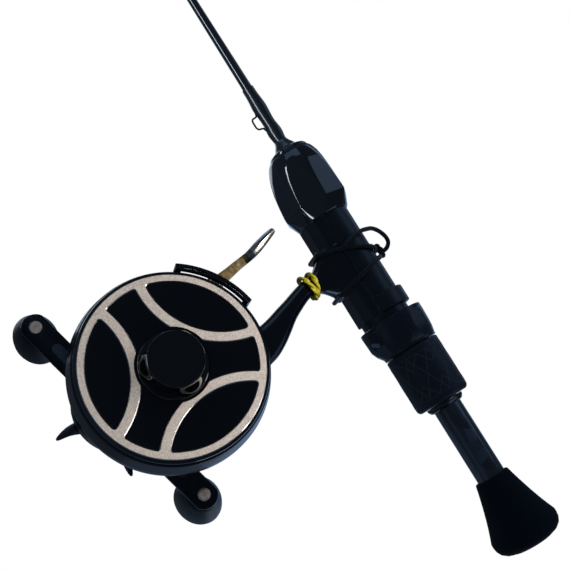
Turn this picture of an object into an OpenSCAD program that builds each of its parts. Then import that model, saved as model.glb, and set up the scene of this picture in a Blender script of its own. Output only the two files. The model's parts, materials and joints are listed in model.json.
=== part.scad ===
// Ice fishing rod with an inline reel hung under its reel seat.
// The rod axis is X: the tip points to -X and the butt to +X. +Z is up, and the reel hangs below.
// The reel's decorated face looks to -Y and its crank handle is on the +Y side.
// The origin is on the rod axis, halfway along the bare rear tube, where a rod holder grips it.

/* [Rod] */
// Distance from the holder point to the rod tip
tip_reach = 560; // [440:5:700]
// Radius of the blank where it leaves the handle
blank_r = 2.6; // [2.2:0.1:3]
// Radius of the blank at its tip
tip_r = 0.8; // [0.6:0.1:1.2]
// Inner radius of the largest line guide
guide_r = 3.5; // [3:0.1:4]
// Number of line guides between the handle and the tip
guide_count = 4; // [4:1:4]

/* [Handle] */
// Radius of the rear tube
tube_r = 6.3; // [5.5:0.1:7]
// Largest radius of the foam butt
butt_r = 15.2; // [12:0.1:18]
// Length of the foam butt
butt_len = 32; // [24:0.5:40]
// Outer radius of the rubber grip
grip_r = 12.35; // [11.6:0.05:13]
// Length of the rubber grip
grip_len = 26; // [20:0.5:30]
// Radius of the reel seat shell
seat_r = 11.3; // [10.8:0.1:12]
// Largest radius of the front barrel
barrel_r = 15.4; // [13:0.1:17]
// Length of the front barrel
barrel_len = 34; // [28:0.5:40]
// Radius of the sliding hood
hood_r = 14.2; // [13.6:0.1:15]

/* [Reel] */
// Distance from the rod axis down to the spool axis
spool_drop = 95.8; // [90:0.2:100]
// Outer radius of the metal trim on the spool face
trim_r = 37.5; // [37:0.1:38]
// Radius of the spool's front flange
flange_r = 38.9; // [38.6:0.1:39.2]
// Outer radius of the reel frame's back plate
frame_r = 41.4; // [41:0.1:42]
// Distance from the spool's mid plane to the trim's face
face_h = 12.9; // [12.5:0.1:13.5]
// Height of the face knob above the trim
knob_h = 9.8; // [8:0.1:12]
// Radius of the face knob's flat top
knob_r = 11.5; // [10:0.1:12]

/* [Gears and handle] */
// Gear module
gear_m = 0.8; // [0.8:0.1:0.8]
// Teeth on the main gear
main_teeth = 39; // [39:1:39]
// Teeth on the pinion
pinion_teeth = 15; // [15:1:15]
// Distance from the handle axis to each crank knob's axis
crank_r = 50; // [42:0.5:54]
// Length of a crank knob
crank_knob_len = 27; // [22:0.5:30]
// Angle of the crank arm at rest
crank_angle = 15.6; // [0:0.1:90]

/* [Fit] */
// Radial clearance of a turning fit
run_gap = 0.04; // [0.02:0.01:0.08]
// Clearance between moving faces
face_gap = 0.35; // [0.3:0.05:0.5]

/* [Hidden] */

$fn = 64;
smooth_fn = 32;
eps = 0.01;

// Where things sit along the rod
butt_x = 17;
tube_front_x = -86;
tube_rear_x = butt_x + butt_len - 8;
end_ring_x = -19.6;
end_ring_len = 3;
grip_x = end_ring_x - grip_len;
hood_len = 15.2;
hood_x = grip_x - face_gap - hood_len;
hood_travel = 2.2;
stop_len = 7.5;
seat_round_x = hood_x - 3.1;
stop_x = seat_round_x - stop_len;
seat_front_x = -116.5;
seat_rear_x = hood_x + 4.2;
spigot_rear_x = -26.5;
barrel_rear_x = -113.5;
barrel_x = barrel_rear_x - barrel_len;
check_len = 2.8;
check_x = barrel_x - check_len;
keeper_x = -167;
blank_bend_x = -234.5;

// Reel seat section: the shell is a round arc with a flat saddle below it
seat_z = -2.5;
saddle_z = -14;
saddle_half = 5;
saddle_edge = [8, -10.5];
spigot_r = 9;
seat_step = 0.2;
nut_core_r = 10.6;
hood_z = -1.3;
stop_wall = 2;

// Reel
reel_x = -86.5;
handle_drop = gear_m * (main_teeth + pinion_teeth) / 2;
wall_h = 9.6;
wall_front_r = 39.7;
wall_in_r = 38.3;
plate_h = -0.3;
plate_t = 3;
gap_start = 98.5;
gap_end = 150.5;
guard_in_r = 40.5;
guard_out_r = 43;
guard_h = 8;
guard_t = 3;
guard_from = 101.5;
guard_to = 149;
leg_angle = 4;
lens_turn = 9.2;
lens_count = 3;
lens_arc_r = 33.3;
lens_arc_c = 50.6;
lens_round = 2.6;
band_w = 3.1;
bar_w = 4.2;
knob_clear = 1;
trim_t = 0.8;
knob_base_r = 14.2;
shaft_r = 2;
bearing_r = 4.5;
drive_r = 3;
bushing_r = 5.5;
rear_flange_r = 37.4;
core_r = 15;
line_r = 31;

// Depths on the reel, counted from the rod's plane towards the face
gear_h = -9;
gear_t = 3.8;
housing_h = -12.2;
cover_t = 2.3;
shaft_rear_h = -13.4;
star_h = -20;
star_t = 3;
star_r = 28.8;
star_arms = 5;
star_turn = -92;
arm_h = -28.6;
arm_t = 4;
knob_gap = 0.5;

// Trigger: pivot point, and the lever's centre line in the reel's plane
trigger_pivot = [-23.7, 34.6];
trigger_mid = [-27.2, 51.4];
trigger_bend = [-27.4, 55];
trigger_tip = [-32.4, 68.6];
trigger_h = 0;
trigger_t = 1.4;
paddle_h = 4.2;
lug_r = 4;
pin_r = 0.95;

// Axis helpers: children are drawn with their own Z along the named axis
module along_rod(x = 0, z = 0) { translate([x, 0, z]) rotate([90, 0, 90]) children(); }
module on_spool() { translate([reel_x, 0, -spool_drop]) rotate([90, 0, 0]) children(); }
module on_drive() { translate([reel_x, 0, -spool_drop - handle_drop]) rotate([90, 0, 0]) children(); }
module ring(r_out, r_in, h) {
    difference() {
        cylinder(r = r_out, h = h);
        translate([0, 0, -1]) cylinder(r = r_in, h = h + 2);
    }
}

// A tube swept along points. Each of its rings stands square to the route, turned from a fixed side
function unit(v) = v / norm(v);
function route_dir(p, i) = unit(p[min(i + 1, len(p) - 1)] - p[max(i - 1, 0)]);
function tube_ring(c, d, r, sides, side) =
    let (u = unit(cross(d, side)), v = cross(d, u))
        [for (k = [0:sides - 1]) c + r * (u * cos(360 * k / sides) + v * sin(360 * k / sides))];
module tube(p, r, side = [1, 0, 0], sides = 8) {
    n = len(p);
    points = [for (i = [0:n - 1]) each tube_ring(p[i], route_dir(p, i), r, sides, side)];
    walls = [
        for (i = [0:n - 2])
            for (k = [0:sides - 1])
                [(i + 1) * sides + k, (i + 1) * sides + (k + 1) % sides,
                 i * sides + (k + 1) % sides, i * sides + k]
    ];
    start = [for (k = [0:sides - 1]) k];
    end = [for (k = [sides - 1:-1:0]) (n - 1) * sides + k];
    polyhedron(points, concat(walls, [start, end]));
}

// Rod blank and its fittings
function blank_at(x) = x > blank_bend_x
    ? 2.05 + (blank_r - 2.05) * (x - blank_bend_x) / (barrel_x - blank_bend_x)
    : tip_r + (2.05 - tip_r) * (x + tip_reach) / (blank_bend_x + tip_reach);
module rod_blank() {
    color("black")
        along_rod()
            rotate_extrude()
                polygon([
                    [0, -tip_reach], [tip_r, -tip_reach], [2.05, blank_bend_x],
                    [blank_r, barrel_x], [blank_r, tube_front_x + 20], [0, tube_front_x + 20],
                ]);
}

tip_tube_len = 9;
tip_ring_r = 1.5;
tip_drop = 4.2;
tip_x = -tip_reach - 1.4;
module tip_top() {
    color("dimgray") {
        along_rod(-tip_reach - 0.6)
            difference() {
                cylinder(r = tip_r + 0.75, h = tip_tube_len);
                translate([0, 0, 0.6]) cylinder(r = blank_at(-tip_reach + tip_tube_len) + 0.03, h = 20);
            }
        along_rod(tip_x, -tip_drop) ring(tip_ring_r + 1.1, tip_ring_r + 0.55, 1.2);
        for (s = [-1, 1])
            hull() {
                translate([tip_x + 0.6, s * (tip_ring_r + 1.02), -tip_drop]) sphere(r = 0.4, $fn = 12);
                translate([-tip_reach + 5, s * 0.9, -tip_r - 0.4]) sphere(r = 0.4, $fn = 12);
            }
    }
}
module tip_ring() {
    color("black") along_rod(tip_x - 0.15, -tip_drop) ring(tip_ring_r + 0.53, tip_ring_r, 1.5);
}

// Line guides, from the largest near the handle to the smallest near the tip
guide_x = [-268, -358, -432, -496];
guide_scale = [1, 0.76, 0.6, 0.5];
guide_drop = [11.5, 9, 7.2, 6];
guide_foot_len = 11;
guide_wrap_r = 1.15;
guide_foot_half = 1.1;
guide_foot_t = 0.7;
guide_ring_t = 1.2;
strut_r = 0.5;
function guide_in(i) = guide_r * guide_scale[i];
module guide_foot(i, grow) {
    x = guide_x[i];
    translate([x + 4 - grow, -guide_foot_half - grow, -blank_at(x) - 1 - grow])
        cube([guide_foot_len + 2 * grow, 2 * (guide_foot_half + grow), guide_foot_t + 2 * grow]);
}
module guide(i) {
    r = guide_in(i) + 0.6;
    x = guide_x[i];
    drop = guide_drop[i];
    color("dimgray") {
        along_rod(x, -drop) ring(r + 0.8, r, guide_ring_t);
        for (s = [-1, 1])
            hull() {
                translate([x + guide_ring_t, s * (r + 0.62), -drop + 0.6]) sphere(r = strut_r, $fn = 12);
                translate([x + 5, s * 0.7, -blank_at(x) - 0.6]) sphere(r = strut_r, $fn = 12);
            }
        guide_foot(i, 0);
    }
}
module guide_ring(i) {
    color("black") along_rod(guide_x[i] - 0.15, -guide_drop[i]) ring(guide_in(i) + 0.58, guide_in(i), 1.5);
}
module guide_wraps() {
    color("black")
        for (i = [0:guide_count - 1])
            difference() {
                along_rod(guide_x[i] + 6)
                    ring(
                        blank_at(guide_x[i] + 15) + guide_wrap_r,
                        blank_at(guide_x[i] + 6 + guide_foot_len) + 0.02,
                        guide_foot_len - 1);
                guide_foot(i, 0.03);
            }
}

// Epoxied thread winding that holds the hook keeper and flares into the winding check
module keeper_wrap() {
    color("black")
        along_rod()
            rotate_extrude()
                polygon([
                    [blank_r + 0.01, keeper_x - 17], [blank_r + 0.15, keeper_x - 17],
                    [blank_r + 0.5, keeper_x - 9], [blank_r + 0.5, keeper_x - 5],
                    [blank_r + 0.3, keeper_x - 3], [blank_r + 0.3, keeper_x + 3],
                    [blank_r + 0.6, keeper_x + 5], [blank_r + 0.4, keeper_x + 10],
                    [blank_r + 1, check_x - 2.6], [blank_r + 2.4, check_x - 0.6],
                    [blank_r + 3, check_x], [blank_r + 0.01, check_x],
                ]);
}
keeper_wire = 0.45;
keeper_half = 2.9;
keeper_low = -6.6;
module hook_keeper() {
    foot = -blank_r - 1.02;
    half_route = [
        [4.6, foot], [3.7, foot - 0.08], [3.1, foot - 0.5], [keeper_half, foot - 1.3],
        [keeper_half - 0.2, keeper_low + 0.8], [keeper_half - 1.1, keeper_low],
    ];
    last = len(half_route) - 1;
    color("black")
        tube(concat(
            [for (q = half_route) [keeper_x - q[0], 0, q[1]]],
            [for (i = [last:-1:0]) [keeper_x + half_route[i][0], 0, half_route[i][1]]]
        ), keeper_wire, [0, 1, 0]);
}

// Handle
module winding_check() {
    color("black")
        along_rod()
            rotate_extrude()
                polygon([
                    [blank_r + 0.03, check_x + 0.02], [blank_r + 3.4, check_x + 0.02],
                    [barrel_r - 4.8, check_x + 1.4], [barrel_r - 4.4, barrel_x - 0.02],
                    [blank_r + 0.03, barrel_x - 0.02],
                ]);
}
module facets(x, r, z, len) { along_rod(x, z) cylinder(r = r, h = len, $fn = 8); }
module front_barrel() {
    shoulder_x = barrel_rear_x - 7;
    color("black")
        difference() {
            union() {
                hull() {
                    facets(barrel_x, barrel_r - 4.2, 0, eps);
                    facets(barrel_x + 5, barrel_r - 2.9, -0.6, eps);
                }
                hull() {
                    facets(barrel_x + 5, barrel_r - 2.9, -0.6, eps);
                    facets(shoulder_x, barrel_r, seat_z, eps);
                }
                hull() {
                    facets(shoulder_x, barrel_r, seat_z, eps);
                    facets(barrel_rear_x - eps, seat_r + 0.9, seat_z, eps);
                }
            }
            along_rod(barrel_x - 1) cylinder(r = blank_r + 0.02, h = barrel_len + 2);
            along_rod(seat_front_x) linear_extrude(10) seat_section(0.02);
        }
}

// Section of the reel seat across the rod: Y to the right, Z up
function arc_points(r, from, to, n, c) = [
    for (i = [0:n]) c + r * [cos(from + (to - from) * i / n), sin(from + (to - from) * i / n)]
];
shell_from = -20.5;
module seat_section(grow = 0) {
    g = grow;
    polygon(concat(
        arc_points(seat_r + g, shell_from, 180 - shell_from, 40, [0, seat_z]),
        [
            [-saddle_edge[0] - 1.1 - g, saddle_edge[1] + 3.1], [-saddle_edge[0] - g, saddle_edge[1] - g],
            [-saddle_half - g, saddle_z - g], [saddle_half + g, saddle_z - g],
            [saddle_edge[0] + g, saddle_edge[1] - g], [saddle_edge[0] + 1.1 + g, saddle_edge[1] + 3.1],
        ]));
}
module reel_seat() {
    color("#15181c")
        difference() {
            union() {
                along_rod(seat_front_x) linear_extrude(seat_round_x - seat_front_x) seat_section();
                along_rod(seat_round_x - 1, seat_z)
                    cylinder(r = seat_r - seat_step, h = seat_rear_x - seat_round_x + 1);
                along_rod(seat_rear_x - 1) cylinder(r = spigot_r, h = spigot_rear_x - seat_rear_x + 1);
            }
            along_rod(seat_front_x - 1) cylinder(r = blank_r + 0.02, h = 200);
            along_rod(tube_front_x) cylinder(r = tube_r + 0.02, h = 200);
        }
}
module slide_stop() {
    color("#15181c")
        along_rod(stop_x)
            linear_extrude(stop_len)
                polygon(concat(
                    arc_points(seat_r + stop_wall, shell_from, 180 - shell_from, 40, [0, seat_z]),
                    arc_points(seat_r + 0.02, 180 - shell_from, shell_from, 40, [0, seat_z])));
}
module rear_hood() {
    lip = 2;
    color("#15181c")
        difference() {
            union() {
                along_rod(hood_x, hood_z) cylinder(r = hood_r + 0.5, h = lip);
                hull() {
                    facets(hood_x + lip - 0.1, hood_r + 0.3, hood_z, eps);
                    facets(hood_x + 8, hood_r - 0.1, hood_z, eps);
                }
                hull() {
                    facets(hood_x + 8, hood_r - 0.1, hood_z, eps);
                    along_rod(hood_x + hood_len - eps) cylinder(r = grip_r - 0.1, h = eps, $fn = smooth_fn);
                }
            }
            along_rod(hood_x - 1, seat_z)
                cylinder(r = seat_r + face_gap, h = seat_rear_x - hood_x + hood_travel + 1.4);
            along_rod(hood_x) cylinder(r = spigot_r + run_gap, h = hood_len + 1);
        }
}
module lock_nut() {
    color("dimgray") along_rod(grip_x + 0.02) ring(nut_core_r, spigot_r + run_gap, grip_len - 2.5);
}
module grip_sleeve() {
    edge = 1.4;
    color("#1b1f24")
        along_rod(grip_x)
            rotate_extrude()
                polygon([
                    [nut_core_r + 0.02, 0.02], [grip_r - 0.3, 0.02], [grip_r, 0.4],
                    [grip_r, grip_len - edge], [grip_r - 0.4, grip_len - 0.4],
                    [grip_r - edge, grip_len - 0.1],
                    [tube_r + 0.6, grip_len - 0.1], [tube_r + 0.6, grip_len - 2.4],
                    [nut_core_r + 0.02, grip_len - 2.4],
                ]);
}
module grip_end_ring() {
    color("silver") along_rod(end_ring_x) ring(tube_r + 3.4, tube_r + run_gap, end_ring_len);
}
module rear_tube() {
    wall = 1.4;
    plug_rear_x = tube_front_x + 20;
    color("black")
        along_rod()
            rotate_extrude()
                polygon([
                    [blank_r + 0.02, tube_front_x + 0.02], [tube_r, tube_front_x + 0.02],
                    [tube_r, tube_rear_x], [tube_r - wall, tube_rear_x],
                    [tube_r - wall, plug_rear_x], [blank_r + 0.02, plug_rear_x],
                ]);
}
module foam_butt() {
    end_x = butt_x + butt_len;
    color("#101214")
        along_rod()
            difference() {
                rotate_extrude()
                    polygon([
                        [0, butt_x], [tube_r + 0.7, butt_x], [tube_r + 1.2, butt_x + 0.8],
                        [butt_r - 1.1, butt_x + 20], [butt_r - 0.1, butt_x + 23.5],
                        [butt_r, butt_x + 25.5], [butt_r - 0.5, butt_x + 27.8],
                        [butt_r - 2.2, butt_x + 29.6], [butt_r - 6, end_x - 0.8],
                        [butt_r - 10, end_x - 0.2], [0, end_x],
                    ]);
                translate([0, 0, butt_x - 1]) cylinder(r = tube_r + 0.02, h = tube_rear_x - butt_x + 1.1);
            }
}

// Elastic wraps that tie the reel's foot to the seat. They run round the shell and the foot's edges
wrap_r = 1;
wrap_touch = wrap_r + 0.04;
foot_half_y = 5;
foot_z = -16;
foot_x = reel_x - 3.5;
foot_span = 23.5;
foot_dir = atan2(foot_z - seat_z, foot_half_y);
wrap_lean = foot_dir + acos(seat_r / norm([foot_half_y, foot_z - seat_z]));
foot_front_x = -99.6;
foot_rear_x = -80;
front_slope = 0.36;
rear_slope = -0.27;
wrap_path = concat(
    arc_points(seat_r + wrap_touch, 94, 180 - wrap_lean, 16, [0, seat_z]),
    arc_points(wrap_touch, 180 - wrap_lean, 270, 5, [-foot_half_y, foot_z]),
    arc_points(wrap_touch, 270, 360 + wrap_lean, 5, [foot_half_y, foot_z]),
    arc_points(seat_r + wrap_touch, wrap_lean, 86, 16, [0, seat_z]));
module wrap(x, slope) {
    tube([for (q = wrap_path) [x + slope * (q[1] - foot_z), q[0], q[1]]], wrap_r);
}
module foot_wrap_front() { color("black") wrap(foot_front_x, front_slope); }
module foot_wrap_rear() { color("black") wrap(foot_rear_x, rear_slope); }
bead_z = 12.3;
bead_r = 1.4;
loop_route = [
    [-96.4, -13.3, -6.9], [-97.2, -13.7, -5.3], [-98.4, -13.3, -2.6], [-99.2, -12.2, 1.2],
    [-99.7, -10.2, 5.2], [-99.7, -8, 8.8], [-99.3, -6, 12], [-97.8, -4, 14.8], [-95.8, -2.4, 16.8],
    [-93.6, -1.2, 18], [-91.6, -0.6, 18], [-90.2, -0.2, 17], [-89.3, 0, 15.4],
    [-89, 0, bead_z + bead_r + 0.03],
];
module wrap_loop() { color("black") tube(loop_route, wrap_r, [0.95, 0, 0.3]); }
module wrap_bead() {
    color("black")
        hull()
            for (x = [-92, -87.7])
                translate([x, 0, bead_z]) sphere(r = bead_r, $fn = 20);
}

// Reel frame: back plate, rim wall, curved stem and foot
neck_x = reel_x - 3.6;
neck_z = -25.5;
stem_band_r = 5.4;
// Stem levels: height, centre along the rod, half length and half thickness
stem_levels = [
    [38 - spool_drop, 9.6, 7.8, 4], [46 - spool_drop, 7, 7.1, 4.6], [58 - spool_drop, 1, 4.8, 4.6],
    [neck_z, -3.6, 3.7, 3.8], [-20.5, -3.7, 4, 4], [foot_z - 0.2, -3.5, 7.6, 4.6],
];
module stem_pad(i) {
    q = stem_levels[i];
    translate([reel_x + q[1], 0, q[0]])
        scale([q[2] / q[3], 1, 1])
            cylinder(r = q[3], h = 0.4, $fn = smooth_fn);
}
module stem() {
    for (i = [0:len(stem_levels) - 2])
        hull() {
            stem_pad(i);
            stem_pad(i + 1);
        }
}
// The foot's section is a cradle that hugs the saddle: its points on the right side, from the middle out
foot_out = [[foot_half_y, foot_z], [6.9, -12.8], [8.8, -9.6], [9.5, -8.5], [10.2, -7.15]];
foot_in = [
    [9.95, -6.97],
    [9.15, -7.45],
    [saddle_edge[0] + 0.04, saddle_edge[1] - 0.02],
    [saddle_half + 0.01, saddle_z - 0.02],
];
module foot_section() {
    right = concat(foot_out, foot_in);
    polygon(concat(right, [for (i = [len(right) - 1:-1:0]) [-right[i][0], right[i][1]]]));
}
module wall_slice() {
    polygon([[wall_in_r, plate_h], [wall_in_r, wall_h], [wall_front_r, wall_h],
        [frame_r, 2], [frame_r, plate_h]]);
}
module trigger_lug() {
    translate([trigger_pivot[0], trigger_pivot[1], plate_h - plate_t]) cylinder(r = lug_r, h = plate_t);
}
module reel_frame() {
    color("#101418")
        difference() {
            union() {
                on_spool() {
                    translate([0, 0, plate_h - plate_t]) cylinder(r = frame_r, h = plate_t);
                    rotate([0, 0, gap_end]) rotate_extrude(angle = 360 - gap_end + gap_start) wall_slice();
                    trigger_lug();
                }
                stem();
                along_rod(foot_x - foot_span / 2) linear_extrude(foot_span) foot_section();
            }
            on_spool() {
                translate([0, 0, -10]) cylinder(r = bearing_r + 0.02, h = 20);
                translate([0, 0, plate_h]) cylinder(r = wall_in_r, h = 20);
                translate([trigger_pivot[0], trigger_pivot[1], -10]) cylinder(r = pin_r + 0.02, h = 20);
                for (a = screw_angles)
                    translate([screw_at(a)[0], screw_at(a)[1], -10]) cylinder(r = 1.02, h = 20);
            }
            on_drive() translate([0, 0, plate_h - plate_t - 1]) cylinder(r = drive_r + run_gap, h = 3);
        }
}
module line_guard() {
    color("#101418")
        on_spool() {
            rotate([0, 0, guard_from])
                rotate_extrude(angle = guard_to - guard_from)
                    translate([guard_in_r, guard_h]) square([guard_out_r - guard_in_r, guard_t]);
            for (a = [guard_from, guard_to - leg_angle])
                rotate([0, 0, a])
                    rotate_extrude(angle = leg_angle)
                        translate([frame_r + 0.02, plate_h - plate_t])
                            square([guard_out_r - frame_r, guard_h + 0.1 - plate_h + plate_t]);
        }
}

// Gear housing and its cover
screw_angles = [20, 160, 250, 310];
housing_main_r = 20.2;
housing_top_r = 11;
screw_ring_r = 18.2;
function screw_at(a) = a < 180
    ? [8.6 * (a < 90 ? 1 : -1), 3.6]
    : [screw_ring_r * cos(a), -handle_drop + screw_ring_r * sin(a)];
module housing_outline(r_top, r_main) {
    hull() {
        circle(r = r_top);
        translate([0, -handle_drop]) circle(r = r_main);
    }
}
module gear_housing() {
    top = plate_h - plate_t - 0.02;
    color("#12161a")
        on_spool()
            difference() {
                translate([0, 0, housing_h])
                    linear_extrude(top - housing_h) housing_outline(housing_top_r, housing_main_r);
                translate([0, 0, housing_h - 1]) cylinder(r = 7.2, h = 20);
                translate([0, -handle_drop, housing_h - 1]) cylinder(r = 16.8, h = 20);
                for (a = screw_angles)
                    translate([screw_at(a)[0], screw_at(a)[1], housing_h - 1]) cylinder(r = 1.02, h = 20);
            }
}
module rear_cover() {
    color("#12161a")
        on_spool()
            difference() {
                union() {
                    translate([0, 0, housing_h - cover_t - 0.02])
                        linear_extrude(cover_t) housing_outline(housing_top_r, housing_main_r);
                    translate([0, -handle_drop, housing_h - 3.6]) cylinder(r = bushing_r + 2.2, h = 3);
                }
                translate([0, 0, housing_h - 1.6]) cylinder(r = bearing_r + 0.02, h = 20);
                translate([0, -handle_drop, housing_h - 10]) cylinder(r = bushing_r + 0.02, h = 20);
                for (a = screw_angles)
                    translate([screw_at(a)[0], screw_at(a)[1], housing_h - 10]) cylinder(r = 1.02, h = 20);
            }
}
module cover_screws() {
    head_r = 1.9;
    color("silver")
        on_spool()
            for (a = screw_angles)
                translate([screw_at(a)[0], screw_at(a)[1], 0]) {
                    translate([0, 0, housing_h - cover_t + 0.1]) cylinder(r = 1, h = 10.6);
                    difference() {
                        translate([0, 0, housing_h - cover_t - 1.1]) cylinder(r = head_r, h = 1.06);
                        translate([0, 0, housing_h - cover_t - 2]) cylinder(r = 0.9, h = 1.5, $fn = 6);
                    }
                    translate([0, 0, housing_h - cover_t - 0.3]) cylinder(r = 1, h = 0.6);
                }
}

// Spool, its face and its line
module spool() {
    flange_t = 2.1;
    color("#0a0d10")
        on_spool()
            rotate_extrude()
                polygon([
                        [shaft_r + 0.01, 0.4], [rear_flange_r - 0.4, 0.4], [rear_flange_r, 0.8],
                        [rear_flange_r, 1.6], [rear_flange_r - 0.4, 2], [core_r, 2.2],
                        [core_r, face_h - trim_t - flange_t - 0.2],
                        [rear_flange_r, face_h - trim_t - flange_t],
                        [flange_r - 0.5, face_h - trim_t - flange_t],
                        [flange_r, face_h - trim_t - flange_t + 0.6],
                        [flange_r, face_h - trim_t - 0.6], [flange_r - 0.6, face_h - trim_t],
                        [knob_base_r + 0.2, face_h - trim_t], [knob_base_r + 0.2, face_h - 3],
                        [shaft_r + 0.01, face_h - 3],
                ]);
}
module lens_outline() {
    r_in = trim_r - band_w;
    offset(r = lens_round)
        offset(r = -lens_round)
            intersection() {
                circle(r = r_in, $fn = 128);
                translate([lens_arc_c, 0]) circle(r = lens_arc_r, $fn = 128);
            }
}
module spool_trim() {
    r_in = trim_r - band_w;
    color("#b9b0a6")
        on_spool()
            rotate([0, 0, lens_turn])
                translate([0, 0, face_h - trim_t + 0.01])
                    linear_extrude(trim_t) {
                        difference() {
                            circle(r = trim_r, $fn = 128);
                            circle(r = r_in, $fn = 128);
                        }
                        for (k = [0:lens_count - 1])
                            rotate([0, 0, 360 * k / lens_count])
                                difference() {
                                    intersection() {
                                        circle(r = r_in + 0.5, $fn = 128);
                                        translate([lens_arc_c, 0]) circle(r = lens_arc_r + bar_w, $fn = 128);
                                    }
                                    lens_outline();
                                    circle(r = knob_base_r + knob_clear);
                                }
                    }
}
module spool_line() {
    color("#d8dde0") on_spool() translate([0, 0, 2.3]) ring(line_r, core_r + 0.02, 7.4);
}
module spool_shaft() {
    color("silver")
        on_spool()
            translate([0, 0, shaft_rear_h]) cylinder(r = shaft_r, h = face_h + 4 - shaft_rear_h);
}
module spool_bearing_front() {
    color("silver") on_spool() translate([0, 0, plate_h - 2.9]) ring(bearing_r, shaft_r + run_gap, 2.6);
}
module spool_bearing_rear() {
    color("silver") on_spool() translate([0, 0, housing_h - 1.55]) ring(bearing_r, shaft_r + run_gap, 2.4);
}

// Face knob on the front of the spool shaft
knob_top = face_h + knob_h;
lobe_out = 2.6;
function lobed(r, out, n = 72) = [
    for (i = [0:n - 1])
        let (a = 360 * i / n, q = r + out * pow(max(0, cos(lens_count * (a - lens_turn))), 2))
            q * [cos(a), sin(a)]
];
module knob_level(r, out, h) {
    translate([0, 0, h]) linear_extrude(eps) polygon(lobed(r, out));
}
module face_knob() {
    base = face_h + 0.3;
    color("black")
        on_spool()
            difference() {
                union() {
                    hull() {
                        knob_level(knob_r, lobe_out, base);
                        knob_level(knob_r - 0.3, lobe_out - 0.4, base + 2.4);
                        knob_level(knob_r - 0.9, 0.3, knob_top - 2);
                    }
                    hull() {
                        knob_level(knob_r - 0.9, 0.3, knob_top - 2.05);
                        knob_level(knob_r, 0, knob_top - 0.9);
                        knob_level(knob_r - 0.6, 0, knob_top);
                    }
                }
                translate([0, 0, face_h - 1]) cylinder(r = shaft_r + run_gap, h = 6);
                translate([0, 0, face_h - 1]) cylinder(r = 6, h = 3);
            }
}
module knob_collar() {
    color("black") on_spool() translate([0, 0, face_h - 2.98]) ring(knob_base_r, 7, 2.9);
}
module knob_spring() {
    color("silver") on_spool() translate([0, 0, face_h - 2.98]) ring(5.4, shaft_r + 0.35, 0.6);
}

// Involute gears
pressure = 25;
backlash = 0.16;
function inv(a) = tan(a) * 180 / PI - a;
function gear_point(rb, r, side, half) =
    let (a = acos(min(1, rb / r)), t = side * (half - inv(a)))
        r * [cos(t), sin(t)];
function tooth(z, k) =
    let (
        rp = gear_m * z / 2,
        rb = rp * cos(pressure),
        ro = rp + 0.9 * gear_m,
        rr = rp - 1.2 * gear_m,
        half = 90 / z - backlash / rp * 90 / PI + inv(pressure),
        lo = max(rb, rr) + eps,
        steps = 4,
        root = half * 0.98,
        turn = 360 * k / z,
        c = cos(turn),
        s = sin(turn),
        raw = concat(
            [rr * [cos(root), -sin(root)]],
            [for (i = [0:steps]) gear_point(rb, lo + (ro - lo) * i / steps, -1, half)],
            [for (i = [steps:-1:0]) gear_point(rb, lo + (ro - lo) * i / steps, 1, half)],
            [rr * [cos(root), sin(root)]])
    )
        [for (p = raw) [c * p[0] - s * p[1], s * p[0] + c * p[1]]];
module gear_outline(z) { polygon([for (k = [0:z - 1]) each tooth(z, k)]); }
module main_gear() {
    color("#c9a24a")
        on_drive()
            translate([0, 0, gear_h])
                difference() {
                    rotate([0, 0, 90]) linear_extrude(gear_t) gear_outline(main_teeth);
                    translate([0, 0, -1]) cylinder(r = drive_r + 0.01, h = 10);
                    for (k = [0:4])
                        rotate([0, 0, 72 * k]) translate([9, 0, -1]) cylinder(r = 2.4, h = 10);
                }
}
module pinion() {
    color("#c9a24a")
        on_spool()
            translate([0, 0, gear_h - 0.3])
                difference() {
                    rotate([0, 0, -90 + 180 / pinion_teeth])
                        linear_extrude(gear_t + 0.6) gear_outline(pinion_teeth);
                    translate([0, 0, -1]) cylinder(r = shaft_r + 0.01, h = 10);
                }
}

// Drive shaft and drag
drive_rear_h = -31.4;
drive_front_h = -1.75;
module drive_shaft() {
    color("silver")
        on_drive() {
            translate([0, 0, drive_rear_h]) cylinder(r = drive_r, h = drive_front_h - drive_rear_h);
            translate([0, 0, gear_h + gear_t + 0.01]) cylinder(r = 5, h = 0.9);
        }
}
module drag_washers() {
    color("dimgray")
        on_drive()
            for (k = [0:2])
                translate([0, 0, gear_h - 0.7 - 0.7 * k]) ring(11.5 - 0.4 * (k % 2), drive_r + 0.02, 0.6);
}
module drive_bushing() {
    color("#b98a3a") on_drive() translate([0, 0, -16]) ring(bushing_r, drive_r + run_gap, 4);
}
module drag_spring() {
    color("silver")
        on_drive()
            translate([0, 0, star_h + star_t + 0.01])
                rotate_extrude()
                    polygon([
                        [drive_r + 0.35, 0.15], [drive_r + 3.4, 0],
                        [drive_r + 3.4, 0.25], [drive_r + 0.35, 0.4],
                    ]);
}
module star_drag() {
    hub_r = 8.4;
    color("#0d0f12")
        on_drive()
            translate([0, 0, star_h])
                difference() {
                    union() {
                        cylinder(r = hub_r, h = star_t);
                        for (k = [0:star_arms - 1])
                            rotate([0, 0, star_turn + 360 * k / star_arms])
                                linear_extrude(star_t - 0.6)
                                    polygon([
                                        [4, -5.4], [10, -3.8], [17, -3.1], [23.5, -1.9],
                                        [star_r, 0.2], [star_r - 0.6, 0.8], [23, 1.5], [17, 2.6],
                                        [10, 4], [4, 5.4],
                                    ]);
                    }
                    translate([0, 0, -1]) cylinder(r = drive_r + run_gap, h = 10);
                }
}
module handle_spacer() {
    base = arm_h + arm_t + 0.02;
    color("silver") on_drive() translate([0, 0, base]) ring(4.6, drive_r + 0.02, star_h - face_gap - base);
}

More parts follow.
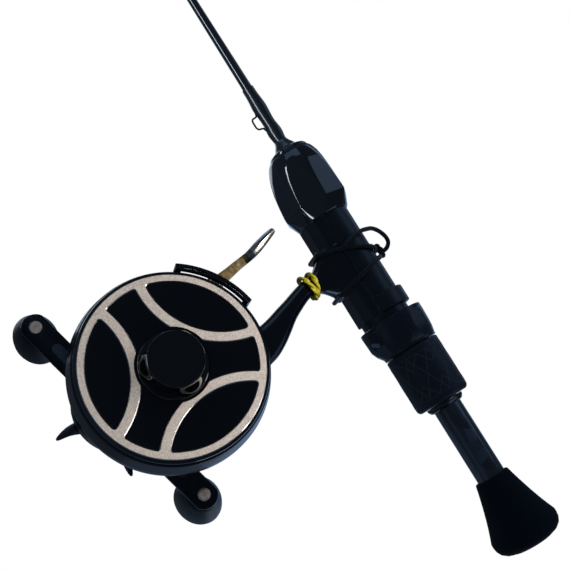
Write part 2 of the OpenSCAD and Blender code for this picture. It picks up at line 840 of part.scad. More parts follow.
// Crank arm with its two knobs
arm_end_r = 6.2;
arm_boss_r = 8.4;
screw_head_r = 2.9;
module on_crank(side) {
    on_drive() rotate([0, 0, crank_angle]) translate([side * crank_r, 0, 0]) children();
}
module arm_outline() {
    end_turn = 68;
    boss_turn = 42;
    polygon(concat(
        arc_points(arm_end_r, -end_turn, end_turn, 18, [crank_r, 0]),
        arc_points(arm_boss_r, boss_turn, 180 - boss_turn, 14, [0, 0]),
        arc_points(arm_end_r, 180 - end_turn, 180 + end_turn, 18, [-crank_r, 0]),
        arc_points(arm_boss_r, 180 + boss_turn, 360 - boss_turn, 14, [0, 0])));
}
module crank_arm() {
    panel_depth = 0.9;
    panel_len = 27;
    color("#0b0d10")
        on_drive()
            rotate([0, 0, crank_angle])
                difference() {
                    translate([0, 0, arm_h]) linear_extrude(arm_t) arm_outline();
                    translate([0, 0, arm_h - 1]) cylinder(r = drive_r + 0.02, h = 20);
                    for (s = [-1, 1]) {
                        translate([s * crank_r, 0, arm_h - 1]) cylinder(r = 1.77, h = 20);
                        translate([s * crank_r, 0, arm_h + arm_t - 1.2])
                            cylinder(r = screw_head_r + 0.05, h = 20);
                        translate([s * (crank_r - 24) - panel_len / 2, -2.7, arm_h + arm_t - panel_depth])
                            cube([panel_len, 5.4, 5]);
                    }
                }
}
module handle_nut() {
    color("silver")
        on_drive() {
            difference() {
                translate([0, 0, arm_h - 3.4]) cylinder(r = 5, h = 3.38, $fn = 6);
                translate([0, 0, arm_h - 2.85]) cylinder(r = drive_r + 0.01, h = 10);
            }
        }
}
crank_pin_r = 1.75;
module crank_screw(side) {
    color("#b9a48c")
        on_crank(side)
            difference() {
                union() {
                    translate([0, 0, arm_h - crank_knob_len + 3])
                        cylinder(r = crank_pin_r, h = crank_knob_len + arm_t - 4);
                    translate([0, 0, arm_h + arm_t - 1.18]) cylinder(r = screw_head_r, h = 1.2);
                }
                translate([0, 0, arm_h + arm_t - 0.5]) cylinder(r = 1, h = 2, $fn = 6);
            }
}
// Crank knob levels, from its free end to the arm: height, half width along the arm and across it
knob_levels = [[0, 5.5, 4.6], [2, 8.6, 7.2], [9, 11.2, 9.3], [17, 10.6, 9.2], [24, 7.8, 7.4]];
module knob_pad(i) {
    q = knob_levels[i];
    translate([0, 0, q[0]]) scale([q[1] / q[2], 1, 1]) cylinder(r = q[2], h = 0.1, $fn = smooth_fn);
}
module crank_knob(side) {
    base = arm_h - knob_gap - crank_knob_len;
    color("#171d26")
        on_crank(side)
            difference() {
                translate([0, 0, base]) {
                    for (i = [0:len(knob_levels) - 2])
                        hull() {
                            knob_pad(i);
                            knob_pad(i + 1);
                        }
                    translate([0, 0, knob_levels[4][0]])
                        cylinder(r = 6.4, h = crank_knob_len - knob_levels[4][0]);
                }
                translate([0, 0, base + 2.9]) cylinder(r = crank_pin_r + run_gap, h = crank_knob_len);
            }
}

// Trigger that lifts the brake
module bar_between(p, q, w_p, w_q, h_p, h_q, t) {
    hull() {
        translate([p[0], p[1], h_p]) cylinder(r = w_p / 2, h = t, $fn = 12);
        translate([q[0], q[1], h_q]) cylinder(r = w_q / 2, h = t, $fn = 12);
    }
}
module trigger() {
    color("silver")
        on_spool()
            difference() {
                union() {
                    translate([trigger_pivot[0], trigger_pivot[1], trigger_h])
                        cylinder(r = 3.1, h = trigger_t);
                    bar_between(trigger_pivot, trigger_mid, 6, 4.4, trigger_h, trigger_h, trigger_t);
                    bar_between(trigger_mid, trigger_bend, 4.2, 4.2, trigger_h, paddle_h, trigger_t);
                    bar_between(trigger_bend, trigger_tip, 4.6, 2.6, paddle_h, paddle_h - 0.6, trigger_t);
                }
                translate([trigger_pivot[0], trigger_pivot[1], -5]) cylinder(r = pin_r + run_gap, h = 12);
            }
}
module trigger_pin() {
    color("silver")
        on_spool()
            translate([trigger_pivot[0], trigger_pivot[1], 0]) {
                translate([0, 0, plate_h - plate_t + 0.1]) cylinder(r = pin_r, h = 7);
                translate([0, 0, 3.75]) cylinder(r = 1.7, h = 0.7);
            }
}
module trigger_spring() {
    wire = 0.3;
    color("silver")
        on_spool()
            translate([trigger_pivot[0], trigger_pivot[1], 0])
                for (k = [0:2])
                    translate([0, 0, 2.05 + 0.55 * k])
                        rotate_extrude() translate([1.6, 0]) circle(r = wire, $fn = 16);
}
module stem_band() {
    color("#a8a010")
        translate([neck_x, 0, neck_z])
            for (s = [-1, 1])
                translate([0, 0, 1.1 * s + 0.6])
                    rotate([4 * s, 9 * s - 6, 0])
                        rotate_extrude() translate([stem_band_r, 0]) circle(r = 1.15, $fn = 16);
}

rod_blank();
tip_top();
tip_ring();
guide(0);  // guide_1
guide(1);  // guide_2
guide(2);  // guide_3
guide(3);  // guide_4
guide_ring(0);  // guide_ring_1
guide_ring(1);  // guide_ring_2
guide_ring(2);  // guide_ring_3
guide_ring(3);  // guide_ring_4
guide_wraps();
keeper_wrap();
hook_keeper();
winding_check();
front_barrel();
reel_seat();
slide_stop();
rear_hood();
lock_nut();
grip_sleeve();
grip_end_ring();
rear_tube();
foam_butt();
foot_wrap_front();
foot_wrap_rear();
wrap_loop();
wrap_bead();
stem_band();
reel_frame();
line_guard();
gear_housing();
rear_cover();
cover_screws();
spool();
spool_trim();
spool_line();
spool_shaft();
pinion();
spool_bearing_front();
spool_bearing_rear();
face_knob();
knob_collar();
knob_spring();
main_gear();
drive_shaft();
drag_washers();
drive_bushing();
drag_spring();
star_drag();
handle_spacer();
crank_arm();
handle_nut();
crank_screw(-1);  // crank_screw_1
crank_screw(1);  // crank_screw_2
crank_knob(-1);  // crank_knob_1
crank_knob(1);  // crank_knob_2
trigger();
trigger_pin();
trigger_spring();
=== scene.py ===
"""Looks for the ice-fishing rod with its inline reel. Lengths are millimetres in the CAD frame."""
import json
import math

import bmesh
import bpy
from mathutils import Matrix, Vector

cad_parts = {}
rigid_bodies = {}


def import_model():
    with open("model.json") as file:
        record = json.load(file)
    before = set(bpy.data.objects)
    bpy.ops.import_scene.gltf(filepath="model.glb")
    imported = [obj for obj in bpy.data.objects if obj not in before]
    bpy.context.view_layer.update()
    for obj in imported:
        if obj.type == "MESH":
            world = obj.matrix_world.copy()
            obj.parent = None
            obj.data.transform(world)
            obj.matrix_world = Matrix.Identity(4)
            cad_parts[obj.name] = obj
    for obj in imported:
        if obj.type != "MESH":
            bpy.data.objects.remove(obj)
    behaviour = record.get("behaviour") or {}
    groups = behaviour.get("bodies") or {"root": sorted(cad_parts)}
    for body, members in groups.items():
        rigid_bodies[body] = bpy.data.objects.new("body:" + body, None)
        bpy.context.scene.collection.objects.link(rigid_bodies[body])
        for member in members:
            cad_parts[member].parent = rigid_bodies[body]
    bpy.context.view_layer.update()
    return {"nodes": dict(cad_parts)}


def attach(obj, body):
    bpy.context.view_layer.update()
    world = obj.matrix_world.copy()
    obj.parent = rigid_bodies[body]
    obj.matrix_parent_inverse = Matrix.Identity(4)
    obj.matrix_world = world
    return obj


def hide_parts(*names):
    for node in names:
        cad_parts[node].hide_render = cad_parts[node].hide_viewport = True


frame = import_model()
MM = 0.001

# The spool's axis along the rod and below it, and how far the crank's axis is below the spool's.
REEL_X, REEL_DROP, CRANK_DROP = -86.5, 95.8, 21.6
CRANK_R, CRANK_TURN = 50.0, math.radians(15.6)
LENS_TURN = 9.2
SEAT_R, SEAT_Z = 11.3, -2.5

# ---------------------------------------------------------------- camera, world and lights
CAMERA = Vector((-23.7, -394.6, -179.6))
RIGHT = Vector((0.514, -0.2123, 0.8311))
DOWN = Vector((0.8408, 0.3164, -0.4392))
FORWARD = Vector((-0.1697, 0.9246, 0.3411))
FOCUS = Vector((-75, 0, -60))
FACE = Vector((REEL_X, -13, -REEL_DROP))
FOOT_SPOT = Vector((-85, 0, -15))
WHITE, BLUE, COOL = (1, 1, 1), (0.40, 0.62, 1), (0.74, 0.87, 1)
WARM, CREAM = (1, 0.95, 0.89), (1, 0.965, 0.93)
RECEIVERS = {}


def aim(obj, place, axes):
    """Puts an object at a place in mm, with its own three axes along the given directions."""
    turn = Matrix([[axis[i] for axis in axes] for i in range(3)]).to_4x4()
    turn.translation = place * MM
    obj.matrix_world = turn


def make_camera():
    cam = bpy.data.objects.new("camera", bpy.data.cameras.new("camera"))
    cam.data.lens = 63.16
    cam.data.sensor_width = 36
    cam.data.clip_start = 0.01
    bpy.context.scene.collection.objects.link(cam)
    aim(cam, CAMERA, (RIGHT, -DOWN, -FORWARD))
    bpy.context.scene.camera = cam
    bpy.context.scene.view_settings.view_transform = "Standard"


def make_world():
    """White behind the object, and a dim blue light on it from all round."""
    world = bpy.data.worlds.new("studio")
    bpy.context.scene.world = world
    world.use_nodes = True
    tree = world.node_tree
    tree.nodes.clear()
    out = tree.nodes.new("ShaderNodeOutputWorld")
    mix = tree.nodes.new("ShaderNodeMixShader")
    path = tree.nodes.new("ShaderNodeLightPath")
    tree.links.new(path.outputs["Is Camera Ray"], mix.inputs["Fac"])
    for socket, colour, strength in ((1, (0.55, 0.72, 1, 1), 0.085), (2, (1, 1, 1, 1), 1.0)):
        sky = tree.nodes.new("ShaderNodeBackground")
        sky.inputs["Color"].default_value = colour
        sky.inputs["Strength"].default_value = strength
        tree.links.new(sky.outputs[0], mix.inputs[socket])
    tree.links.new(mix.outputs[0], out.inputs["Surface"])


def softbox(name, direction, dist, size, radiance, colour, spread=180, target=FOCUS, roll=(0, 0, 1), only=()):
    """A rectangular light, out along a direction from its target. With only, it lights just those pieces."""
    light = bpy.data.lights.new(name, "AREA")
    light.shape = "RECTANGLE"
    light.size = size[0] * MM
    light.size_y = size[1] * MM
    light.energy = radiance * math.pi * size[0] * size[1] * MM * MM
    light.color = colour
    light.spread = math.radians(spread)
    lamp = bpy.data.objects.new(name, light)
    bpy.context.scene.collection.objects.link(lamp)
    out = Vector(direction).normalized()
    side = Vector(roll).cross(out).normalized()
    aim(lamp, target + out * dist, (side, out.cross(side), out))
    lamp.visible_camera = False
    RECEIVERS[name] = only


def make_lights():
    trim = ("face_trim", "screw_cap_a", "screw_cap_b")
    glossy = ("barrel", "nose_cap", "blank", "keeper_winding")
    bright = ("lever_arm", "yellow_band", "grip_ring")
    along = (0, 1, 0)
    beside = RIGHT * 0.7 - DOWN * 0.45 - FORWARD * 0.65
    low_back = (0.47, 0.54, -0.68)
    softbox("metal_key", (-0.1, -0.9, 0.3), 900, (1500, 1500), 0.72, CREAM, target=FACE, only=trim)
    softbox("lever_key", beside, 900, (260, 260), 6, WARM, 60, FACE, only=bright)
    softbox("chamfer_key", (0.3, -0.1, 0.9), 700, (1500, 1100), 4, WARM, target=FACE, only=("face_trim",))
    softbox("edge_strip", (-0.1, -0.42, -0.8), 190, (460, 26), 13, COOL, target=Vector((-95, 0, 0)),
            roll=along, only=glossy)
    softbox("knob_side", (-0.55, 0.1, -0.8), 160, (150, 60), 4, COOL, target=FACE,
            only=("face_knob_body", "knob_seat"))
    softbox("top_front", (-0.17, -0.41, 0.89), 620, (460, 260), 0.5, BLUE)
    softbox("right_end", (0.8, -0.35, 0.5), 700, (300, 500), 0.7, BLUE)
    softbox("left_end", (-0.9, -0.35, 0.1), 700, (300, 500), 0.7, BLUE)
    softbox("low_front", (-0.15, -0.45, -0.85), 180, (420, 80), 0.1, BLUE, target=Vector((-70, 0, 0)),
            roll=along)
    softbox("low_back", low_back, 170, (160, 110), 2.2, BLUE, target=FOOT_SPOT, only=("stem",))
    softbox("low_fill", low_back, 170, (160, 110), 0.12, BLUE, target=FOOT_SPOT)
    softbox("back_wide", (0.1, 0.85, 0.35), 800, (800, 600), 0.6, BLUE)
    softbox("back_top", (-0.3, 0.35, 0.9), 800, (900, 260), 0.6, BLUE)
    softbox("back_left", (-0.6, 0.75, 0.1), 800, (300, 700), 1.1, COOL)
    softbox("back_right", (0.75, 0.6, 0.25), 800, (260, 600), 1.1, COOL)
    softbox("floor_light", (0.1, -0.3, 0.95), 2400, (2600, 2600), 4.0, WHITE, only=("floor",))


def share_lights(floor):
    """Gives each light its own pieces or, where it has none, every mesh but the floor."""
    subject = bpy.data.collections.new("subject")
    for o in bpy.data.objects:
        if o.type == "MESH" and o != floor:
            subject.objects.link(o)
    for name, pieces in RECEIVERS.items():
        group = subject
        if pieces:
            group = bpy.data.collections.new(name + "_receivers")
        for lit in pieces:
            group.objects.link(bpy.data.objects[lit])
        bpy.data.objects[name].light_linking.receiver_collection = group


# ---------------------------------------------------------------- materials
class Mat:
    """A Principled material. Whatever varies over it follows noise in object coordinates."""

    def __init__(self, name, colour, rough=0.4, metal=0.0, coat=0.0, coat_rough=0.05, sheen=0.0, spec=0.5):
        self.data = bpy.data.materials.new(name)
        self.data.use_nodes = True
        self.tree = self.data.node_tree
        self.sockets = self.tree.nodes["Principled BSDF"].inputs
        self.sockets["Base Color"].default_value = (*colour, 1)
        self.sockets["Roughness"].default_value = rough
        self.sockets["Metallic"].default_value = metal
        self.sockets["Coat Weight"].default_value = coat
        self.sockets["Coat Roughness"].default_value = coat_rough
        self.sockets["Sheen Weight"].default_value = sheen
        self.sockets["Specular IOR Level"].default_value = spec
        self.place = self.node("TexCoord").outputs["Object"]
        self.normal = None

    def node(self, kind, **inputs):
        n = self.tree.nodes.new("ShaderNode" + kind)
        for name, value in inputs.items():
            n.inputs[name.replace("_", " ")].default_value = value
        return n

    def link(self, a, b):
        self.tree.links.new(a, b)

    def scaled(self, scale, turn=(0, 0, 0)):
        n = self.node("Mapping", Scale=scale, Rotation=turn)
        self.link(self.place, n.inputs["Vector"])
        return n.outputs[0]

    def noise(self, scale, detail=4.0, stretch=(1, 1, 1)):
        n = self.node("TexNoise", Scale=scale, Detail=detail, Roughness=0.55)
        self.link(self.scaled(stretch), n.inputs["Vector"])
        return n.outputs["Fac"]

    def voronoi(self, scale, stretch=(1, 1, 1), out="Distance"):
        n = self.node("TexVoronoi", Scale=scale)
        self.link(self.scaled(stretch), n.inputs["Vector"])
        return n.outputs[out]

    def wave(self, scale, axis, distort, turn=(0, 0, 0)):
        n = self.node("TexWave", Scale=scale, Distortion=distort)
        n.bands_direction = axis
        self.link(self.scaled((1, 1, 1), turn), n.inputs["Vector"])
        return n.outputs["Fac"]

    def tint(self, fac, stops):
        """Colours the material along a ramp. The stops give a colour for each place on it."""
        n = self.node("ValToRGB")
        elements = n.color_ramp.elements
        while len(elements) < len(stops):
            elements.new(0.5)
        for i, (position, colour) in enumerate(stops.items()):
            elements[i].position = position
            elements[i].color = (*colour, 1)
        self.link(fac, n.inputs["Fac"])
        self.link(n.outputs["Color"], self.sockets["Base Color"])

    def roughen(self, fac, low, high):
        n = self.node("MapRange", To_Min=low, To_Max=high)
        self.link(fac, n.inputs["Value"])
        self.link(n.outputs["Result"], self.sockets["Roughness"])

    def bump(self, fac, strength, depth):
        """Adds one layer of relief over the layers already there."""
        n = self.node("Bump", Strength=strength, Distance=depth * MM)
        self.link(fac, n.inputs["Height"])
        if self.normal is not None:
            self.link(self.normal, n.inputs["Normal"])
        self.normal = n.outputs["Normal"]
        self.link(self.normal, self.sockets["Normal"])


def gloss(name, colour=(0.004, 0.005, 0.007), rough=0.09):
    m = Mat(name, colour, rough, coat=0.5, coat_rough=0.03)
    m.tint(m.noise(900, 3), {0.3: colour, 0.8: tuple(c * 1.8 for c in colour)})
    m.roughen(m.noise(260, 5), rough * 0.6, rough * 1.5)
    m.bump(m.noise(140, 3), 0.12, 0.05)
    m.bump(m.noise(2600, 2), 0.05, 0.01)
    return m


def satin(name, colour, rough=0.36, grain=5200):
    m = Mat(name, colour, rough, spec=0.55)
    m.tint(m.noise(700, 5), {0.3: colour, 0.75: tuple(c * 1.7 for c in colour)})
    m.roughen(m.noise(420, 5), rough * 0.85, rough * 1.25)
    m.bump(m.noise(grain, 3), 0.22, 0.03)
    m.bump(m.voronoi(grain * 0.45), 0.10, 0.03)
    return m


def foam():
    m = Mat("eva_foam", (0.009, 0.009, 0.010), 0.9, spec=0.25)
    m.tint(m.noise(1500, 6), {0.3: (0.004, 0.007, 0.011), 0.75: (0.014, 0.02, 0.03)})
    m.bump(m.voronoi(1500), 0.5, 0.12)
    m.bump(m.noise(3800, 3), 0.35, 0.06)
    return m


def rubber():
    m = Mat("grip_rubber", (0.008, 0.011, 0.016), 0.48)
    m.tint(m.noise(500, 5), {0.3: (0.010, 0.016, 0.027), 0.75: (0.022, 0.032, 0.05)})
    m.roughen(m.noise(350, 5), 0.42, 0.58)
    m.bump(m.noise(3000, 3), 0.25, 0.05)
    return m


def line_mark():
    m = Mat("grip_lines", (0.03, 0.036, 0.045), 0.55)
    m.tint(m.noise(900, 4), {0.3: (0.035, 0.04, 0.05), 0.7: (0.065, 0.072, 0.082)})
    m.bump(m.noise(4200, 3), 0.3, 0.03)
    return m


def carbon():
    m = Mat("blank_carbon", (0.006, 0.007, 0.009), 0.22, coat=1.0, coat_rough=0.04)
    m.tint(m.wave(900, "DIAGONAL", 1.5), {0.35: (0.003, 0.004, 0.005), 0.8: (0.012, 0.014, 0.017)})
    m.roughen(m.noise(300, 3, (0.1, 1, 1)), 0.1, 0.18)
    m.bump(m.noise(160, 2, (0.05, 1, 1)), 0.05, 0.03)
    return m


def forged():
    m = Mat("forged_carbon", (0.008, 0.009, 0.011), 0.3, coat=1.0, coat_rough=0.05)
    flakes = {0.2: (0.004, 0.006, 0.010), 0.55: (0.02, 0.032, 0.052), 0.9: (0.06, 0.086, 0.124)}
    m.tint(m.voronoi(330, (0.5, 1, 1), "Color"), flakes)
    m.roughen(m.voronoi(420, (0.4, 1, 1)), 0.2, 0.42)
    m.bump(m.noise(320, 4, (0.5, 1, 1)), 0.14, 0.06)
    return m


def thread():
    m = Mat("thread_wrap", (0.004, 0.005, 0.006), 0.3, coat=0.9, coat_rough=0.06)
    m.tint(m.wave(2100, "X", 0.3), {0.3: (0.002, 0.002, 0.003), 0.8: (0.012, 0.014, 0.017)})
    m.bump(m.wave(2100, "X", 0.3), 0.1, 0.02)
    m.bump(m.noise(120, 2), 0.15, 0.08)
    return m


def elastic():
    m = Mat("elastic_cord", (0.005, 0.006, 0.007), 0.42, sheen=0.15)
    m.tint(m.wave(1500, "DIAGONAL", 1.2), {0.3: (0.001, 0.0015, 0.002), 0.8: (0.009, 0.011, 0.014)})
    m.bump(m.wave(1500, "DIAGONAL", 1.2), 0.55, 0.12)
    m.bump(m.wave(1500, "DIAGONAL", 1.2, (0, 0, 1.57)), 0.4, 0.1)
    return m


def band():
    m = Mat("yellow_band", (0.42, 0.36, 0.02), 0.5, spec=0.4)
    m.tint(m.noise(700, 5), {0.25: (0.16, 0.13, 0.004), 0.5: (0.42, 0.36, 0.012), 0.8: (0.62, 0.55, 0.05)})
    m.roughen(m.noise(300, 3), 0.4, 0.62)
    m.bump(m.noise(1300, 4), 0.4, 0.15)
    return m


def champagne():
    m = Mat("trim_brushed", (0.50, 0.445, 0.40), 0.5, metal=1.0)
    m.tint(m.noise(1900, 6), {0.3: (0.36, 0.32, 0.285), 0.7: (0.62, 0.565, 0.51)})
    m.roughen(m.noise(1500, 4), 0.42, 0.6)
    m.bump(m.noise(2600, 4), 0.4, 0.04)
    return m


def chamfer():
    m = Mat("trim_chamfer", (0.86, 0.83, 0.80), 0.16, metal=1.0)
    m.tint(m.noise(900, 3), {0.3: (0.78, 0.75, 0.72), 0.7: (0.92, 0.90, 0.87)})
    m.roughen(m.noise(1200, 3), 0.12, 0.24)
    return m


def panel():
    m = Mat("face_panel", (0.006, 0.007, 0.009), 0.62, spec=0.35)
    m.tint(m.voronoi(3800, out="Color"), {0.2: (0.0012, 0.0016, 0.0024), 0.85: (0.006, 0.0075, 0.0105)})
    m.bump(m.voronoi(3800), 0.5, 0.08)
    m.bump(m.noise(7000, 2), 0.2, 0.02)
    return m


def chrome():
    m = Mat("lever_chrome", (0.62, 0.60, 0.56), 0.12, metal=1.0)
    m.tint(m.noise(120, 4), {0.25: (0.30, 0.26, 0.19), 0.5: (0.58, 0.55, 0.48), 0.8: (0.86, 0.85, 0.84)})
    m.roughen(m.noise(260, 4), 0.07, 0.24)
    m.bump(m.noise(420, 3), 0.25, 0.08)
    return m


def steel():
    m = Mat("steel_parts", (0.55, 0.54, 0.52), 0.25, metal=1.0)
    m.tint(m.noise(500, 4), {0.3: (0.42, 0.41, 0.40), 0.7: (0.66, 0.65, 0.63)})
    m.roughen(m.wave(2500, "Y", 0.3), 0.16, 0.34)
    m.bump(m.noise(1800, 3), 0.15, 0.02)
    return m


def screw():
    m = Mat("screw_metal", (0.46, 0.42, 0.38), 0.35, metal=1.0)
    m.tint(m.noise(900, 4), {0.3: (0.13, 0.12, 0.12), 0.7: (0.25, 0.23, 0.225)})
    m.roughen(m.noise(2000, 4), 0.25, 0.5)
    m.bump(m.noise(3600, 3), 0.25, 0.02)
    return m


def dark_metal():
    m = Mat("guide_black_nickel", (0.06, 0.062, 0.068), 0.2, metal=1.0)
    m.tint(m.noise(400, 3), {0.3: (0.035, 0.037, 0.042), 0.7: (0.09, 0.095, 0.105)})
    m.roughen(m.noise(900, 3), 0.12, 0.3)
    return m


def crank():
    m = Mat("crank_anodised", (0.012, 0.014, 0.018), 0.3, metal=0.75)
    m.tint(m.noise(600, 4), {0.3: (0.008, 0.010, 0.013), 0.7: (0.022, 0.026, 0.033)})
    m.roughen(m.noise(900, 5, (0.2, 1, 1)), 0.22, 0.4)
    m.bump(m.noise(3600, 3), 0.2, 0.02)
    return m


def inlay():
    m = Mat("crank_inlay", (0.05, 0.065, 0.085), 0.42, metal=0.6)
    m.tint(m.noise(500, 4), {0.3: (0.07, 0.08, 0.105), 0.7: (0.14, 0.155, 0.19)})
    m.roughen(m.noise(2600, 4, (0.1, 1, 1)), 0.32, 0.52)
    m.bump(m.noise(4000, 3, (0.1, 1, 1)), 0.25, 0.02)
    return m


def window():
    m = Mat("window_slate", (0.16, 0.27, 0.36), 0.4)
    m.tint(m.noise(900, 4), {0.3: (0.12, 0.21, 0.29), 0.7: (0.2, 0.32, 0.42)})
    m.roughen(m.noise(500, 3), 0.3, 0.5)
    m.bump(m.noise(3600, 3), 0.2, 0.02)
    return m


def brass():
    m = Mat("gear_brass", (0.62, 0.45, 0.18), 0.28, metal=1.0)
    m.tint(m.noise(500, 4), {0.3: (0.48, 0.34, 0.12), 0.7: (0.72, 0.55, 0.25)})
    m.roughen(m.wave(1800, "Y", 0.4), 0.2, 0.38)
    m.bump(m.noise(2400, 3), 0.15, 0.02)
    return m


def nylon():
    m = Mat("wound_line", (0.52, 0.56, 0.6), 0.25, coat=0.6)
    m.tint(m.wave(2600, "Y", 0.6), {0.2: (0.30, 0.33, 0.36), 0.8: (0.66, 0.70, 0.73)})
    m.bump(m.wave(2600, "Y", 0.6), 0.6, 0.15)
    return m


# Chrome coloured gold: a painted warm reflection, used on the lever's lower end and its eye.
def painted_gold_reflection():
    m = Mat("gold_reflection", (0.45, 0.30, 0.12), 0.16, metal=1.0)
    m.tint(m.noise(200, 4), {0.3: (0.30, 0.18, 0.06), 0.7: (0.62, 0.47, 0.24)})
    m.roughen(m.noise(600, 3), 0.1, 0.26)
    return m


LOOKS = {
    "barrel": gloss("barrel_gloss", (0.003, 0.004, 0.006), 0.06),
    "gloss": gloss("black_gloss"),
    "knob": gloss("knob_gloss", (0.0008, 0.001, 0.0015), 0.13),
    "ceramic": gloss("guide_ceramic", (0.008, 0.009, 0.011), 0.07),
    "satin": satin("seat_satin", (0.006, 0.0095, 0.016)),
    "hood": satin("hood_satin", (0.008, 0.013, 0.024), 0.26),
    "frame": satin("frame_satin", (0.003, 0.0045, 0.008), 0.2, 6500),
    "housing": satin("housing_satin", (0.0035, 0.005, 0.008), 0.3, 5000),
    "soft": satin("soft_touch", (0.002, 0.003, 0.006), 0.42, 7000),
    "fibre": satin("drag_fibre", (0.02, 0.019, 0.018), 0.8, 3000),
}
for recipe in (foam, rubber, line_mark, carbon, forged, thread, elastic, band, champagne, chamfer, panel,
               chrome, steel, screw, dark_metal, crank, inlay, window, brass, nylon, painted_gold_reflection):
    LOOKS[recipe.__name__] = recipe()


# ---------------------------------------------------------------- places
def on_rod(y, z, x):
    """Across the rod (y, z), along it (x)."""
    return Vector((x, y, z))


def below_rod(drop):
    return lambda y, z, x: Vector((x, y, z - drop))


def on_spool(u, v, h):
    """Across the spool's face (u, v), out of it towards the viewer (h)."""
    return Vector((REEL_X + u, -h, -REEL_DROP + v))


def on_drive(u, v, h):
    """The same, from the crank's axis."""
    return Vector((REEL_X + u, -h, -REEL_DROP - CRANK_DROP + v))


def on_crank(side):
    """The same again, turned with the crank, from its axis (0) or from one of its ends (-1, 1)."""
    def place(u, v, h):
        a = side * CRANK_R + u
        c, s = math.cos(CRANK_TURN), math.sin(CRANK_TURN)
        return on_drive(c * a - s * v, s * a + c * v, h)
    return place


# ---------------------------------------------------------------- mesh helpers
def piece(name, verts, faces, mats, body, replaces=(), slot=None, bevel=0.0, seg=2, angle=32,
          face_mats=(), limit=30):
    """Makes one named piece: its mesh and looks, its body and the CAD nodes that it stands for."""
    me = bpy.data.meshes.new(name)
    me.from_pydata([Vector(v) * MM for v in verts], [], faces)
    o = bpy.data.objects.new(name, me)
    bpy.context.scene.collection.objects.link(o)
    for m in (mats if isinstance(mats, list) else [mats]):
        me.materials.append(LOOKS[m].data)
    for face, k in zip(me.polygons, face_mats):
        face.material_index = k
    clean(me, None if bevel else angle)
    if bevel:
        b = o.modifiers.new("bevel", "BEVEL")
        b.width = bevel * MM
        b.segments = seg
        b.limit_method = "ANGLE"
        b.angle_limit = math.radians(limit)
        o.modifiers.new("normals", "WEIGHTED_NORMAL").keep_sharp = True
    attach(o, body)
    if replaces:
        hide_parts(*([replaces] if isinstance(replaces, str) else replaces))
    return o


def clean(me, angle):
    """Joins doubles and smooths the faces. With an angle, edges that turn more than it stay sharp."""
    bm = bmesh.new()
    bm.from_mesh(me)
    bmesh.ops.remove_doubles(bm, verts=bm.verts, dist=1e-7)
    bmesh.ops.recalc_face_normals(bm, faces=bm.faces)
    for face in bm.faces:
        face.smooth = True
    if angle is not None:
        for e in bm.edges:
            e.smooth = not (len(e.link_faces) == 2 and e.calc_face_angle(0) > math.radians(angle))
    bm.to_mesh(me)
    bm.free()


class Geo:
    """Gathers the vertices and faces of one piece."""

    def __init__(self):
        self.verts, self.faces, self.mats = [], [], []

    def add(self, verts, faces, mats):
        base = len(self.verts)
        self.verts += verts
        self.faces += [[base + i for i in f] for f in faces]
        self.mats += mats

    def rings(self, rings, mat=0, caps=True, loop=False, mats=None):
        """Joins rings of points into a skin, closed by end caps or by joining the last ring to the first."""
        n, count = len(rings[0]), len(rings)
        mats = mats or [mat] * count
        faces, face_mats = [], []
        for i in range(count if loop else count - 1):
            j = (i + 1) % count
            faces += [[i * n + k, i * n + (k + 1) % n, j * n + (k + 1) % n, j * n + k] for k in range(n)]
            face_mats += [mats[i]] * n
        if caps and not loop:
            faces += [list(range(n - 1, -1, -1)), [(count - 1) * n + k for k in range(n)]]
            face_mats += [mats[0], mats[-1]]
        self.add([p for ring in rings for p in ring], faces, face_mats)
        return self

    def make(self, name, mats, body, **kw):
        return piece(name, self.verts, self.faces, mats, body, face_mats=self.mats, **kw)


def whole_turn(n):
    return [2 * math.pi * k / n for k in range(n)]


def lathe(place, profile, n=64, loop=False, mat=0, geo=None):
    """Turns (radius, height) points round a local axis. A closed profile (loop) makes a ring."""
    rings = [[place(r * math.cos(a), r * math.sin(a), h) for a in whole_turn(n)] for r, h in profile]
    return (geo or Geo()).rings(rings, mat, loop=loop)


def catmull(points, per):
    """A smooth curve through the points, with that many steps between each two."""
    pts = [Vector(p) for p in points]
    last = len(pts) - 1
    curve = []
    for i in range(last):
        p0, p1, p2, p3 = pts[max(i - 1, 0)], pts[i], pts[i + 1], pts[min(i + 2, last)]
        for k in range(per):
            t = k / per
            curve.append(0.5 * ((2 * p1) + (p2 - p0) * t + (2 * p0 - 5 * p1 + 4 * p2 - p3) * t * t
                                + (3 * p1 - p0 - 3 * p2 + p3) * t ** 3))
    curve.append(pts[-1])
    return curve


def tube(points, radius, n=12, closed=False, geo=None, section=(1, 1)):
    """Rings square to a route, carried along it without twisting."""
    pts = [Vector(p) for p in points]
    last = len(pts) - 1
    rings, side = [], None
    for i, p in enumerate(pts):
        ahead = pts[(i + 1) % len(pts)] if closed else pts[min(i + 1, last)]
        behind = pts[i - 1] if closed else pts[max(i - 1, 0)]
        along = (ahead - behind).normalized()
        if side is None:
            side = along.cross(Vector((0.31, 0.2, 0.93))).normalized()
        side = (side - along * side.dot(along)).normalized()
        up = along.cross(side)
        r = radius(i / last) if callable(radius) else radius
        rings.append([p + (side * math.cos(a) * section[0] + up * math.sin(a) * section[1]) * r
                      for a in whole_turn(n)])
    return (geo or Geo()).rings(rings, loop=closed)


def polar(r, degrees):
    return r * math.cos(math.radians(degrees)), r * math.sin(math.radians(degrees))


def arc(r, a0, a1, n, c=(0, 0)):
    steps = [polar(r, a0 + (a1 - a0) * i / n) for i in range(n + 1)]
    return [(c[0] + u, c[1] + v) for u, v in steps]


def finish_node(mat, *names):
    """Gives CAD nodes that stay as they are a detailed material."""
    for n in names:
        me = frame["nodes"][n].data
        me.materials.clear()
        me.materials.append(LOOKS[mat].data)


